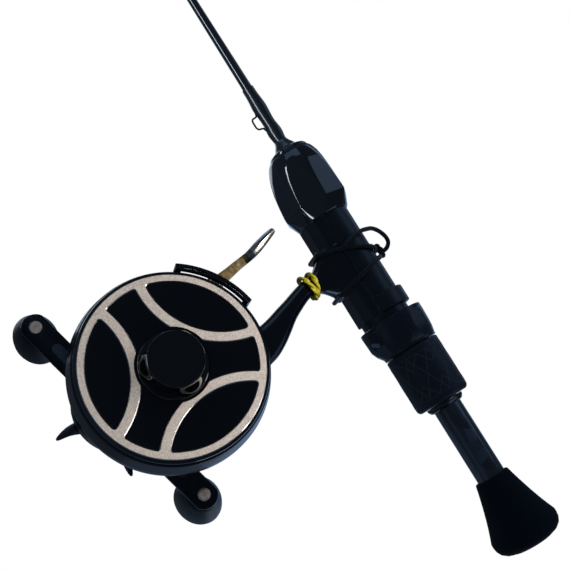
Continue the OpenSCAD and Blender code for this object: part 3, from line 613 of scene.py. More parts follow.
# ---------------------------------------------------------------- rod blank, guides and tip
TIP, BEND, BARREL_X = -560.0, -234.5, -147.5
TIP_R, BEND_R, BLANK_R = 0.8, 2.05, 2.6
KEEPER_X = -167.0
GUIDES = ((-268, 1, 11.5), (-358, 0.76, 9), (-432, 0.6, 7.2), (-496, 0.5, 6))


def blank_r(x):
    if x > BEND:
        return BEND_R + (BLANK_R - BEND_R) * (x - BEND) / (BARREL_X - BEND)
    return TIP_R + (BEND_R - TIP_R) * (x - TIP) / (BEND - TIP)


def blank():
    inside = 20
    steps = [TIP + (BARREL_X + inside - TIP) * i / 90 for i in range(91)]
    profile = [(0.5, TIP)] + [(blank_r(x), x) for x in steps]
    lathe(on_rod, profile, 32).make("blank", "carbon", "rod", replaces="rod_blank", slot="carbon_blank")


def ring_profile(r_in, r_out, x0, x1, c):
    """The section of a ring, with its corners cut by c."""
    return [(r_in + c, x0), (r_out - c, x0), (r_out, x0 + c), (r_out, x1 - c), (r_out - c, x1),
            (r_in + c, x1), (r_in, x1 - c), (r_in, x0 + c)]


def guide(number, x, size, drop):
    r = 3.5 * size
    at = below_rod(drop)
    lathe(at, ring_profile(r, r + 0.58, x - 0.15, x + 1.35, 0.22), 40, loop=True).make(
        "guide_insert_%d" % number, "ceramic", "rod", replaces="guide_ring_%d" % number, slot="guide_ceramic")
    g = lathe(at, ring_profile(r + 0.6, r + 1.38, x, x + 1.2, 0.2), 40, loop=True)
    under = -blank_r(x + 6)
    for side in (-1, 1):
        leg = [(x + 0.6, side * (r + 1.0) * 0.93, -drop + 0.9),
               (x + 1.6, side * (r + 0.5) * 0.8, -drop + r * 0.9),
               (x + 3.2, side * 1.0, under - 1.1), (x + 4.6, side * 0.6, under - 0.62)]
        tube(catmull(leg, 4), 0.42, 8, geo=g)
    foot = [Vector((x + 4.2 + 10.6 * t, 0, -blank_r(x + 8) - 0.62)) for t in (0, 0.2, 0.5, 0.8, 1)]
    tube(foot, lambda t: 1.0 - 0.55 * t * t, 10, geo=g, section=(1.0, 0.32))
    g.make("guide_frame_%d" % number, "dark_metal", "rod", replaces="guide_%d" % number, slot="guide_metal")


def guides():
    for i, (x, size, drop) in enumerate(GUIDES):
        guide(i + 1, x, size, drop)


def guide_windings():
    start, length, steps = 6, 10, 20
    g = Geo()
    for x, _, _ in GUIDES:
        ridge = []
        for k in range(steps + 1):
            t = k / steps
            swell = 0.8 * min(1, 6 * t, 6 * (1 - t)) ** 0.5 + 0.03 * (k % 2)
            ridge.append((blank_r(x + 15) + 0.35 + swell, x + start + length * t))
        first, last = [(blank_r(x + s) + 0.05, x + s) for s in (start, start + length)]
        lathe(on_rod, [first] + ridge + [last], 32, geo=g)
    g.make("guide_windings", "thread", "rod", replaces="guide_wraps", slot="thread_wrap")


def tip():
    at = below_rod(4.2)
    lathe(at, ring_profile(1.5, 2.03, TIP - 1.55, TIP - 0.05, 0.2), 32, loop=True).make(
        "tip_insert", "ceramic", "rod", replaces="tip_ring", slot="guide_ceramic")
    g = lathe(at, ring_profile(2.05, 2.6, TIP - 1.4, TIP - 0.2, 0.15), 32, loop=True)
    sleeve = [(0.9, -0.6), (1.35, -0.5), (1.55, -0.2), (1.55, 7.8), (1.4, 8.4), (0.86, 8.4)]
    lathe(on_rod, [(r, TIP + x) for r, x in sleeve], 28, geo=g)
    for side in (-1, 1):
        brace = [(-0.8, 2.3, -3.9), (0.6, 1.9, -2.8), (3, 0.9, -1.5), (5.5, 0.5, -1.35)]
        tube(catmull([(TIP + x, side * y, z) for x, y, z in brace], 4), 0.3, 8, geo=g)
    g.make("tip_frame", "dark_metal", "rod", replaces="tip_top", slot="guide_metal")


def keeper_winding():
    profile = [(BLANK_R - 0.1, KEEPER_X - 17.2)]
    for k in range(61):
        t = -17 + 31.5 * k / 60
        bulge = 0.55 * math.exp(-((t + 6.5) / 5.2) ** 2) + 0.62 * math.exp(-((t - 7) / 3.6) ** 2) + 0.18
        flare = 3.0 * max(0.0, (t - 11.2) / 5.0) ** 1.6
        profile.append((BLANK_R + bulge + flare, KEEPER_X + t))
    profile += [(BLANK_R + 3, -150.35), (BLANK_R, -150.32)]
    lathe(on_rod, profile, 40).make("keeper_winding", "thread", "rod", replaces="keeper_wrap",
                                    slot="thread_wrap")


def keeper_wire():
    bottom = -BLANK_R
    half = [(4.9, bottom - 0.5), (4.1, bottom - 0.8), (3.3, bottom - 1.1), (2.95, bottom - 2.2), (2.75, -5.9),
            (1.7, -6.55)]
    route = [(KEEPER_X - x, 0, z) for x, z in half] + [(KEEPER_X, 0, -6.62)]
    route += [(KEEPER_X + x, 0, z) for x, z in reversed(half)]
    tube(catmull(route, 4), 0.43, 10).make("keeper_wire", "dark_metal", "rod", replaces="hook_keeper",
                                           slot="guide_metal")


# ---------------------------------------------------------------- handle
HOOD_X, HOOD_Z, HOOD_FLAT_R = -61.15, -1.3, 14.8
SEAT_X0, SEAT_X1 = -116.4, HOOD_X - 3.1
GRIP_R, GRIP_X0, GRIP_X1 = 12.35, -45.6, -19.7
TUBE_R, TUBE_BORE_R = 6.3, 4.9


def flat_ring(x, r, cz, flat=1.0):
    """An octagon with corners straight up, down and to the sides. A flat below 1 rounds its corners off."""
    half = math.radians(22.5) * flat
    gap = math.radians(45) - 2 * half
    d = r * math.cos(half)
    pts = []
    for k in range(8):
        mid = math.radians(22.5 + 45 * k)
        n, t = Vector((math.cos(mid), math.sin(mid))), Vector((-math.sin(mid), math.cos(mid)))
        pts += [n * d + t * d * math.tan(half) * (i / 2 - 1) for i in range(5)]
        corner = [mid + half + gap * i / 4 for i in (1, 2, 3)]
        pts += [Vector((math.cos(a), math.sin(a))) * r for a in corner]
    return [on_rod(p.x, cz + p.y, x) for p in pts]


def circle_ring(x, r, cz, n=64):
    return [on_rod(r * math.cos(a), cz + r * math.sin(a), x) for a in whole_turn(n)]


def nose_cap():
    end = BARREL_X - 0.03
    profile = [(BLANK_R + 0.05, -150.28), (BLANK_R + 2.6, -150.26), (BLANK_R + 3.6, -150.1), (7.6, -149.5),
               (8.8, -148.9), (9.3, -148.2), (9.35, end), (BLANK_R + 0.05, end)]
    lathe(on_rod, profile).make("nose_cap", "gloss", "rod", replaces="winding_check", slot="gloss_black")


def barrel():
    levels = [(0.02, 9.4, -0.3, 0.1), (0.6, 10.3, -0.4, 0.15), (2, 11.3, -0.5, 0.25), (5, 12.55, -0.75, 0.4),
              (9, 13.75, -1.25, 0.66), (14, 14.75, -1.75, 0.82), (20, 15.4, -2.15, 0.9),
              (25.6, 15.85, -2.4, 0.93),
              (27.2, 15.85, -2.4, 0.93), (28.2, 15.4, -2.4, 0.9), (33.1, 12.6, SEAT_Z, 0.4),
              (33.95, 12.0, SEAT_Z, 0.3)]
    g = Geo().rings([flat_ring(BARREL_X + x, r, cz, flat) for x, r, cz, flat in levels])
    g.make("barrel", "barrel", "rod", replaces="front_barrel", slot="gloss_black", bevel=0.4, seg=3, limit=11)


def seat_body():
    r = SEAT_R - 0.02
    keel = [(-9.08, -7.4), (-7.98, -10.48), (-4.98, -13.98), (4.98, -13.98), (7.98, -10.48), (9.08, -7.4)]
    outline = arc(r, -20.5, 200.5, 44, (0, SEAT_Z)) + keel
    g = Geo()
    g.rings([[on_rod(y, z, x) for y, z in outline] for x in (SEAT_X0, -112, -100, -90, -80, -72, SEAT_X1)])
    g.rings([circle_ring(x, 11.1, SEAT_Z, 56) for x in (SEAT_X1 - 0.5, HOOD_X + 4.15)])
    g.rings([circle_ring(x, 8.98, 0, 48) for x in (HOOD_X + 3.5, -26.5)])
    g.make("seat_body", "satin", "rod", replaces="reel_seat", slot="satin_black", bevel=0.35, seg=2, limit=20)


def stop_block():
    outline = arc(13.25, -20, 200, 44, (0, SEAT_Z)) + arc(SEAT_R + 0.03, 200, -20, 44, (0, SEAT_Z))
    start = SEAT_X1 - 7.5
    stations = (start + 0.02, start + 3.7, SEAT_X1 - 0.02)
    g = Geo().rings([[on_rod(y, z, x) for y, z in outline] for x in stations])
    g.make("stop_block", "satin", "rod", replaces="slide_stop", slot="satin_black", bevel=0.5, seg=3,
           limit=30)


def hood():
    front = [circle_ring(HOOD_X + x, r, HOOD_Z) for x, r in ((0.05, 14.4), (0.3, 14.7), (1.5, 14.75))]
    flats = [(1.9, 14.75, HOOD_Z, 0.3), (3, 14.85, HOOD_Z, 0.45), (8.6, 14.75, HOOD_Z, 0.6),
             (11.4, 13.9, -0.75, 0.5),
             (13.6, 12.75, -0.1, 0.3)]
    middle = [flat_ring(HOOD_X + x, r, cz, flat) for x, r, cz, flat in flats]
    rear = [circle_ring(HOOD_X + x, r, 0) for x, r in ((14.2, 12.5), (15.1, 12.45), (15.1, 9.2), (7.0, 9.2))]
    bore = [circle_ring(HOOD_X + x, 11.6, SEAT_Z) for x in (6.8, 0.05)]
    g = Geo().rings(front + middle + rear + bore, loop=True)
    g.make("hood", "hood", "hood", replaces="rear_hood", slot="satin_black", bevel=0.4, seg=3, limit=12)


def on_hood_flat(x, across, lift):
    """A place on the hood's lower front flat."""
    n, t = polar(1, 247.5), polar(1, 337.5)
    d = HOOD_FLAT_R * math.cos(math.radians(22.5 * 0.55)) + lift
    return on_rod(n[0] * d + t[0] * across, HOOD_Z + n[1] * d + t[1] * across, x)


def hood_window():
    capsule = arc(1.1, -90, 90, 10, (0.9, 0)) + arc(1.1, 90, 270, 10, (-0.9, 0))
    slot = [(0.55 * a + 0.6 * b, -1.0 * a + 0.6 * b) for a, b in capsule]
    layers = ((-0.3, 1), (0.35, 1), (0.42, 0.85), (0.42, 0.3))
    rings = [[on_hood_flat(HOOD_X + 7.1 + u * k, 0.9 + v * k, h) for u, v in slot] for h, k in layers]
    Geo().rings(rings).make("hood_window", "window", "hood", angle=30)


def grip():
    outside = [(10.7, GRIP_X0 + 0.05), (11.9, GRIP_X0 + 0.06), (12.2, GRIP_X0 + 0.25),
               (GRIP_R, GRIP_X0 + 0.8),
               (GRIP_R, GRIP_X1 - 2.4), (12.2, GRIP_X1 - 1.3), (11.7, GRIP_X1 - 0.5), (10.9, GRIP_X1 - 0.02)]
    inside = [(7.2, GRIP_X1 - 0.02), (7.0, GRIP_X1 - 0.4), (7.0, GRIP_X1 - 2.2), (10.7, GRIP_X1 - 2.3)]
    lathe(on_rod, outside + inside, 96, loop=True).make(
        "grip", "rubber", "lock", replaces="grip_sleeve", slot="grip_rubber", angle=50)


def on_grip(angle, x, lift):
    y, z = polar(-(GRIP_R + lift), 90 - angle)
    return on_rod(y, z, x)


def ribbon(p, q, half, geo):
    """A thin flat band laid on the grip from p to q, both given as (angle, x)."""
    round_mm, along_mm = math.radians(q[0] - p[0]) * GRIP_R, q[1] - p[1]
    length = math.hypot(round_mm, along_mm)
    da, dx = -along_mm / length * half * 180 / (math.pi * GRIP_R), round_mm / length * half
    edges = ((-1, -0.1), (-0.85, 0.06), (0.85, 0.06), (1, -0.1))
    rings = []
    for k in range(9):
        a, x = p[0] + (q[0] - p[0]) * k / 8, p[1] + along_mm * k / 8
        rings.append([on_grip(a + e * da, x + e * dx, lift) for e, lift in edges])
    geo.rings(rings)


def grip_pattern():
    """Crossed diamonds between two lines, eight times round the grip."""
    sectors, broad, fine, reach = 8, 0.42, 0.22, 3.6
    x0, x1 = GRIP_X0 + 3.2, GRIP_X1 - 3.4
    near, far = (x0 + x1) / 2 - reach, (x0 + x1) / 2 + reach
    g = Geo()
    for s in range(sectors):
        a0, a1 = 360 * s / sectors, 360 * (s + 1) / sectors
        mid = (a0 + a1) / 2
        for p, q in (((a0, x0), (a1, x1)), ((a1, x0), (a0, x1)), ((a0, near), (mid, x0)),
                     ((a1, near), (mid, x0)),
                     ((a0, far), (mid, x1)), ((a1, far), (mid, x1))):
            ribbon(p, q, broad, g)
    for x in (x0, x1):
        for s in range(sectors):
            ribbon((360 * s / sectors, x), (360 * (s + 1) / sectors, x), fine, g)
    g.make("grip_pattern", "line_mark", "lock")


def grip_ring():
    bore = TUBE_R + 0.06
    profile = [(bore, -19.55), (8.3, -19.55), (8.5, -19.3), (8.4, -18.6), (7.7, -17.5), (7.0, -17.0),
               (bore, -16.9)]
    lathe(on_rod, profile, loop=True).make("grip_ring", "dark_metal", "lock", replaces="grip_end_ring",
                                           slot="steel")


def tube_rear():
    outside = [(6.25, -85.9)] + [(TUBE_R, -85 + 126 * k / 20) for k in range(20)] + [(TUBE_R, 40.9)]
    inside = [(TUBE_BORE_R, 40.9), (TUBE_BORE_R, -60), (BLANK_R + 0.1, -66)]
    lathe(on_rod, [(BLANK_R + 0.1, -85.9)] + outside + inside, 48, loop=True).make(
        "tube_rear", "forged", "rod", replaces="rear_tube", slot="forged_tube")


def butt():
    front = [(6.45, 17.6), (7.0, 17.05), (7.5, 17.1), (7.8, 17.6), (8.0, 18.4)]
    cone = []
    for k in range(1, 15):
        t = k / 14
        cone.append((8.0 + 7.15 * (t ** 1.12) * (1 - 0.06 * math.sin(math.pi * t)), 18.4 + 22.4 * t))
    rear = [(15.2, 42.3), (14.9, 44.2), (13.9, 46.1), (12.0, 47.6), (9.0, 48.6), (5.0, 48.95), (1.5, 49)]
    lathe(on_rod, front + cone + rear, 72).make("butt", "foam", "rod", replaces="foam_butt", slot="butt_foam")


# ---------------------------------------------------------------- elastic tie, loop, bead and yellow band
def wraps():
    """Two turns of elastic, round the seat and under the foot, each leaning along the rod."""
    touch, foot_y, foot_z = 1.04, 5.0, -16.0
    down = math.degrees(math.atan2(foot_z - SEAT_Z, foot_y))
    lean = down + math.degrees(math.acos(SEAT_R / math.hypot(foot_y, foot_z - SEAT_Z)))
    over, round_foot = SEAT_R + touch, touch
    route = (arc(over, 94, 180 - lean, 16, (0, SEAT_Z))
             + arc(round_foot, 180 - lean, 270, 5, (-foot_y, foot_z))
             + arc(round_foot, 270, 360 + lean, 5, (foot_y, foot_z))
             + arc(over, lean, 86, 16, (0, SEAT_Z)))
    for end, x, slope in (("front", -99.6, 0.36), ("rear", -80.0, -0.27)):
        points = [(x + slope * (z - foot_z), y, z) for y, z in route]
        tube(points, 1.0).make("wrap_" + end, "elastic", "rod", replaces="foot_wrap_" + end, slot="elastic")


def free_loop():
    route = [(-96.4, -13.3, -6.9), (-97.2, -13.7, -5.3), (-98.4, -13.3, -2.6), (-99.2, -12.2, 1.2),
             (-99.7, -10.2, 5.2), (-99.7, -8, 8.8), (-99.3, -6, 12), (-97.8, -4, 14.8), (-95.8, -2.4, 16.8),
             (-93.6, -1.2, 18), (-91.6, -0.6, 18), (-90.2, -0.2, 17), (-89.3, 0, 15.4), (-89, 0, 13.4)]
    tube(catmull(route, 4), 0.98).make("free_loop", "elastic", "rod", replaces="wrap_loop", slot="elastic")


def knot():
    g = Geo()
    for centre, r in (((-91.9, 0.1, 12.35), 1.42), ((-87.8, -0.1, 12.4), 1.45), ((-89.9, 0.2, 12.5), 1.28)):
        rings = []
        for i in range(1, 8):
            up = math.pi * (i / 8 - 0.5)
            flat = r * math.cos(up)
            ring = []
            for a in whole_turn(16):
                offset = Vector((flat * math.cos(a) * 1.15, flat * math.sin(a), r * math.sin(up)))
                ring.append(Vector(centre) + offset)
            rings.append(ring)
        g.rings(rings)
    strand = [(-91.5, -1.2, 12.2), (-90.2, -1.25, 13.2), (-89.2, -0.3, 13.6), (-88.6, 1.1, 12.9)]
    tube(catmull(strand, 4), 0.55, 8, geo=g)
    g.make("knot", "elastic", "rod", replaces="wrap_bead", slot="gloss_black")


def yellow_band():
    """Two tilted turns round the stem's neck, each of two strands twisted four times."""
    neck, twists, wind = Vector((REEL_X - 3.6, 0, -25.5)), 4, 0.42
    g = Geo()
    for rise, tilt_x, tilt_y, phase in ((-0.9, 0.22, 0.05, 0.0), (1.25, -0.12, -0.09, 2.1)):
        for strand in range(2):
            pts = []
            for a in whole_turn(48):
                w = a * twists + strand * math.pi + phase
                r = 5.25 + wind * math.cos(w)
                p = Vector((r * math.cos(a), r * math.sin(a), rise + wind * math.sin(w) + 0.5))
                p.z += tilt_x * p.x + tilt_y * p.y
                pts.append(neck + p)
            tube(pts, lambda t: 0.72 + 0.08 * math.sin(t * 19), 8, closed=True, geo=g)
    g.make("yellow_band", "band", "rod", replaces="stem_band", slot="band_yellow")


# ---------------------------------------------------------------- reel frame
PLATE_H, PLATE_T, WALL_H = -0.3, 3.0, 9.6
WALL_GAP = (98.5, 150.5)
LUG = (-23.7, 34.6)


def on_lug(u, v, h):
    return on_spool(LUG[0] + u, LUG[1] + v, h)


def reel_body():
    g = Geo()
    low = PLATE_H - PLATE_T
    disc = [(4.55, PLATE_H), (40.9, PLATE_H), (41.35, PLATE_H - 0.4), (41.4, PLATE_H - 1.4),
            (41.1, PLATE_H - 2.3),
            (40.2, low), (4.55, low)]
    lathe(on_spool, disc, 128, loop=True, geo=g)
    wall = [(38.3, PLATE_H - 0.05), (38.3, WALL_H - 0.3), (38.6, WALL_H), (39.35, WALL_H),
            (39.7, WALL_H - 0.35),
            (40.35, 6.0), (41.1, 2.6), (41.38, 1.2), (41.4, PLATE_H - 0.05)]
    span = [WALL_GAP[1] + (360 - WALL_GAP[1] + WALL_GAP[0]) * k / 120 for k in range(121)]
    g.rings([[on_spool(*polar(r, a), h) for r, h in wall] for a in span])
    lug = [(0.98, PLATE_H), (3.7, PLATE_H), (4.0, PLATE_H - 0.3), (4.0, low + 0.3), (3.7, low), (0.98, low)]
    lathe(on_lug, lug, 32, loop=True, geo=g)
    g.make("reel_body", "frame", "rod", replaces="reel_frame", slot="frame_alu", bevel=0.25, seg=2, limit=35)


def oval(z, cx, hx, hy, e):
    """A level ring of the stem. Its corners are squarer for a smaller e."""
    ring = []
    for a in whole_turn(48):
        ca, sa = math.cos(a), math.sin(a)
        x = hx * math.copysign(abs(ca) ** e, ca)
        ring.append(Vector((REEL_X + cx + x, hy * math.copysign(abs(sa) ** e, sa), z)))
    return ring


def stem():
    """One smooth loft from the rim up to a cradle that hugs the seat."""
    rise = [(-57.8, 9.6, 7.8, 3.9, 0.9), (-53, 8.4, 7.5, 4.5, 0.9), (-48, 6.4, 6.8, 4.7, 0.9),
            (-43, 3.8, 5.9, 4.7, 0.92), (-38, 1.1, 4.8, 4.6, 0.95), (-33, -1.2, 4.3, 4.3, 1.0),
            (-28.5, -3.0, 3.95, 4.0, 1.0), (-25.5, -3.6, 3.9, 3.9, 1.0), (-22.8, -3.6, 4.3, 4.1, 0.95),
            (-20.6, -3.55, 5.3, 4.4, 0.85), (-18.8, -3.5, 6.8, 4.65, 0.72), (-17.4, -3.5, 8.2, 4.85, 0.6),
            (-16.5, -3.5, 9.2, 4.95, 0.5)]
    cradle = [(-16.02, 9.6, 5.0), (-16.0, 11.2, 5.0), (-15.8, 11.55, 5.1), (-15.3, 11.7, 5.4),
              (-12.8, 11.7, 6.9),
              (-10.2, 11.7, 8.45), (-9.6, 11.7, 8.8), (-8.5, 11.6, 9.5), (-7.4, 11.5, 10.15),
              (-7.1, 11.3, 10.05)]
    rings = [oval(*level) for level in catmull(rise, 4)]
    rings += [oval(z, -3.5, hx, hy, 0.3) for z, hx, hy in cradle]
    Geo().rings(rings).make("stem", "frame", "rod", angle=50, slot="frame_alu")


def arc_bar(r0, r1, h0, h1, a0, a1, n=28):
    """A square bar bent round the spool's axis."""
    corners = ((r0, h0), (r1, h0), (r1, h1), (r0, h1))
    return [[on_spool(*polar(r, a0 + (a1 - a0) * i / n), h) for r, h in corners] for i in range(n + 1)]


def guard():
    a0, a1, low, high = 101.5, 149, 8, 11
    g = Geo()
    g.rings(arc_bar(40.5, 41.25, low, high, a0, a1))
    g.rings(arc_bar(42.2, 43, low, high, a0, a1))
    for start, end in ((a0, 106.5), (118.8, 131.2), (143.8, a1)):
        g.rings(arc_bar(41.2, 42.25, low, high, start, end, 10))
    for start, end in ((a0, 105.5), (145, a1)):
        g.rings(arc_bar(41.43, 43, -3.2, 8.05, start, end, 4))
    g.make("guard", "gloss", "rod", replaces="line_guard", slot="frame_alu", bevel=0.25, seg=2, limit=35)


def case_ring(r_top, r_main, h):
    """The gear case's outline: an arc round the spool's axis and a larger one round the crank's."""
    off = math.degrees(math.asin((r_main - r_top) / CRANK_DROP))
    outline = arc(r_top, -off, 180 + off, 40) + arc(r_main, 180 + off, 360 - off, 40, (0, -CRANK_DROP))
    return [on_spool(u, v, h) for u, v in outline]


def gear_case():
    g = Geo().rings([case_ring(11, 20.2, h) for h in (-3.32, -8, -12.2)])
    g.make("gear_case", "housing", "rod", replaces="gear_housing", slot="frame_alu", bevel=0.3, seg=2,
           limit=35)


def gear_cover():
    layers = ((10.9, 20.1, -12.24), (10.9, 20.1, -13.6), (10.2, 19.4, -14.3), (9.2, 18.4, -14.5))
    g = Geo().rings([case_ring(*layer) for layer in layers])
    boss = [(5.55, -14.4), (7.7, -14.4), (7.7, -15.5), (7.3, -15.8), (5.55, -15.8)]
    lathe(on_drive, boss, 48, loop=True, geo=g)
    g.make("gear_cover", "housing", "rod", replaces="rear_cover", slot="frame_alu", bevel=0.3, seg=2,
           limit=35)


def kept_nodes():
    """The CAD nodes that are shown as they are."""
    finish_node("dark_metal", "lock_nut")
    finish_node("screw", "cover_screws", "handle_spacer", "crank_screw_1", "crank_screw_2")
    finish_node("steel", "spool_shaft", "drive_shaft", "spool_bearing_front", "spool_bearing_rear",
                "knob_spring",
                "drag_spring", "trigger_pin", "trigger_spring")
    finish_node("brass", "pinion", "main_gear", "drive_bushing")
    finish_node("fibre", "drag_washers")


# ---------------------------------------------------------------- spool, face and knob
FACE_H = 12.9
TRIM_R, TRIM_RING, BAR_W = 37.5, 3.1, 4.2
RING_R = TRIM_R - TRIM_RING
LENS_R, LENS_C = 33.3, 50.6
BAND_R, CUT_R = LENS_R + BAR_W, 15.2


def spool_body():
    profile = [(2.05, 0.4), (36.9, 0.4), (37.3, 0.7), (37.4, 1.2), (37.2, 1.8), (36.6, 2.1), (16.2, 2.25),
               (15.2, 2.6),
               (15.0, 3.4), (15.0, 9.0), (15.6, 9.7), (36.8, 10.0), (38.3, 10.05), (38.75, 10.3),
               (38.9, 10.9),
               (38.9, 11.5), (38.7, 11.95), (38.2, 12.1), (14.45, 12.1), (14.4, 9.95), (2.05, 9.95)]
    lathe(on_spool, profile, 144, loop=True).make(
        "spool_body", "gloss", "spool", replaces="spool", slot="spool_alu", angle=45)


def line_pack():
    turns = [(30.2 + 0.45 * math.sin(k * 2.4), 2.5 + 7.1 * k / 24) for k in range(25)]
    lathe(on_spool, [(15.1, 2.4)] + turns + [(15.1, 9.7)], 96, loop=True).make(
        "line_pack", "nylon", "spool", replaces="spool_line", slot="line")


def along_outline(p, i, step, left):
    """The point that lies a length along an outline from corner i, and the corners passed on the way."""
    passed, j = set(), i
    while True:
        k = (j + step) % len(p)
        seg = (p[k] - p[j]).length
        if seg >= left:
            return p[j].lerp(p[k], left / seg), passed
        left -= seg
        j = k
        passed.add(j)


def rounded(points, r, sharp=25):
    """Rounds the sharp corners of a closed, finely drawn outline."""
    p = [Vector(q) for q in points]
    arcs, skip = {}, set()
    for i, corner in enumerate(p):
        turn = math.degrees((corner - p[i - 1]).angle(p[(i + 1) % len(p)] - corner))
        if turn < sharp:
            continue
        cut = r * math.tan(math.radians(turn) / 2)
        start, behind = along_outline(p, i, -1, cut)
        end, ahead = along_outline(p, i, 1, cut)
        skip |= behind | ahead
        arcs[i] = [start.lerp(corner, k / 6).lerp(corner.lerp(end, k / 6), k / 6) for k in range(7)]
    result = []
    for i, corner in enumerate(p):
        if i in arcs:
            result += arcs[i]
        elif i not in skip:
            result.append(corner)
    return result


def grown(loop, d):
    """Moves a counter-clockwise outline outwards by d."""
    result = []
    for i, p in enumerate(loop):
        t = (loop[(i + 1) % len(loop)] - loop[i - 1]).normalized()
        result.append(p + Vector((t.y, -t.x)) * d)
    return result


def circle(r):
    return [Vector(p) for p in arc(r, 0, 360, 144)[:-1]]


def turned(loop, degrees):
    m = Matrix.Rotation(math.radians(degrees), 2)
    return [m @ Vector(p) for p in loop]


def flat_face(loops, height, g):
    """Fills the area between outlines at one height."""
    bm = bmesh.new()
    edges = []
    for loop in loops:
        vs = [bm.verts.new((p.x, p.y, 0)) for p in loop]
        edges += [bm.edges.new((vs[i], vs[(i + 1) % len(vs)])) for i in range(len(vs))]
    bmesh.ops.triangle_fill(bm, use_beauty=True, edges=edges)
    bm.verts.index_update()
    faces = [[v.index for v in f.verts] for f in bm.faces]
    g.add([on_spool(v.co.x, v.co.y, height) for v in bm.verts], faces, [0] * len(faces))
    bm.free()


def plate(outer, holes, low, top, cut, g, edge_mat=0):
    """A flat plate with holes and a chamfer of width cut round every edge of its upper face."""
    flat_face([grown(outer, -cut)] + [grown(h, cut) for h in holes], top, g)
    flat_face([outer] + holes, low, g)
    for loop, inset in [(outer, -cut)] + [(h, cut) for h in holes]:
        levels = ((grown(loop, inset), top), (loop, top - cut), (loop, low))
        g.rings([[on_spool(p.x, p.y, h) for p in ring] for ring, h in levels], edge_mat, caps=False)


def crossing(arc_r):
    """Where an arc round the lens centre meets the trim's ring: the angle from each of the two centres."""
    beta = math.acos((RING_R ** 2 + LENS_C ** 2 - arc_r ** 2) / (2 * RING_R * LENS_C))
    gamma = math.atan2(RING_R * math.sin(beta), LENS_C - RING_R * math.cos(beta))
    return math.degrees(beta), math.degrees(gamma)


def lens_holes():
    beta, gamma = crossing(LENS_R)
    lens = arc(RING_R, -beta, beta, 40)[:-1] + arc(LENS_R, 180 - gamma, 180 + gamma, 40, (LENS_C, 0))[:-1]
    return [turned(rounded(lens, 1.3), LENS_TURN + 120 * k) for k in range(3)]


def star_hole():
    """The three-armed hole between the bars, widened to a circle round the knob."""
    beta, gamma = crossing(BAND_R)
    cut_x = (LENS_C ** 2 + CUT_R ** 2 - BAND_R ** 2) / (2 * LENS_C)
    cut_a = math.degrees(math.acos(cut_x / CUT_R))
    bar = arc(BAND_R, 180 + gamma, 180 - gamma, 48, (LENS_C, 0))[:-1]
    bar = [p for p in bar if math.hypot(*p) > CUT_R + 0.1]
    half = sum(1 for p in bar if p[1] < 0)
    third = bar[:half] + arc(CUT_R, -cut_a, cut_a, 14) + bar[half:] + arc(RING_R, beta, 120 - beta, 20)[:-1]
    outline = []
    for k in range(3):
        outline += turned(third, LENS_TURN + 120 * k)
    return rounded(outline, 1.0)


def spool_face():
    lenses, star = lens_holes(), star_hole()
    g = Geo()
    plate(circle(TRIM_R), lenses + [star], FACE_H - 0.78, FACE_H, 0.32, g, 1)
    g.make("face_trim", ["champagne", "chamfer"], "spool", replaces="spool_trim", slot="trim_metal", angle=20)
    g = Geo()
    low, top, cut, gap = 12.11, 12.45, 0.2, 0.04
    for lens in lenses:
        plate(grown(lens, -gap), [], low, top, cut, g)
    plate(grown(star, -gap), [circle(14.3)], low, top, cut, g)
    g.make("face_panels", "panel", "spool", angle=20)


def knob_seat():
    profile = [(7.05, 9.97), (14.0, 9.97), (14.2, 10.2), (14.2, 12.5), (13.9, 12.78), (7.05, 12.78)]
    lathe(on_spool, profile, 96, loop=True).make(
        "knob_seat", "gloss", "spool", replaces="knob_collar", slot="gloss_black")


def lobed(r, out, h):
    """A circle with three broad lobes that stand out by the given amount."""
    ring = []
    for a in whole_turn(120):
        w = (0.5 + 0.5 * math.cos(3 * (a - math.radians(LENS_TURN)))) ** 1.3
        ring.append(on_spool(math.cos(a) * (r + out * w), math.sin(a) * (r + out * w), h))
    return ring


def face_knob():
    base, top = FACE_H + 0.32, FACE_H + 9.8
    skirt = [(0, 10.9, 2.8), (0.35, 11.3, 2.85), (1.6, 11.3, 2.75), (3.2, 11.15, 2.3), (4.8, 11.0, 1.5),
             (6.2, 10.95, 0.8), (7.4, 11.05, 0.35), (8.3, 11.3, 0.1)]
    crown = [(0.75, 11.5), (0.35, 11.42), (0.1, 11.15), (0.02, 10.8), (0.1, 10.4), (0.14, 6.0), (0.14, 0.6)]
    rings = [lobed(r, out, base + h) for h, r, out in skirt] + [lobed(r, 0.0, top - h) for h, r in crown]
    Geo().rings(rings).make("face_knob_body", "knob", "knob", replaces="face_knob", slot="gloss_black",
                            angle=50)


# ---------------------------------------------------------------- crank, star and grips
STAR_H, ARM_H, ARM_T = -20.0, -28.6, 4.0
ARM_TOP = ARM_H + ARM_T


def star():
    h0 = STAR_H
    g = Geo()
    hub = [(3.05, h0), (7.9, h0), (8.4, h0 + 0.5), (8.4, h0 + 2.4), (7.8, h0 + 3), (3.05, h0 + 3)]
    lathe(on_drive, hub, 48, loop=True, geo=g)
    spine = catmull([(5, 0), (11, 0.5), (17, 0.2), (23, -0.5), (28.7, 0.3)], 4)
    for k in range(5):
        turn = math.radians(-92 + 72 * k)
        c, s = math.cos(turn), math.sin(turn)
        rows = []
        for i, (u, mid) in enumerate(spine):
            t = i / (len(spine) - 1)
            half_w = 4.6 * (1 - t) ** 0.8 + 0.45
            half_t = 2.3 * (1 - 0.55 * t) / 2
            row = []
            for b in whole_turn(12):
                v = mid + half_w * math.cos(b)
                row.append(on_drive(u * c - v * s, u * s + v * c, h0 + 1.2 + half_t * math.sin(b)))
            rows.append(row)
        g.rings(rows)
    g.make("star", "gloss", "star", replaces="star_drag", slot="star_black", angle=50)


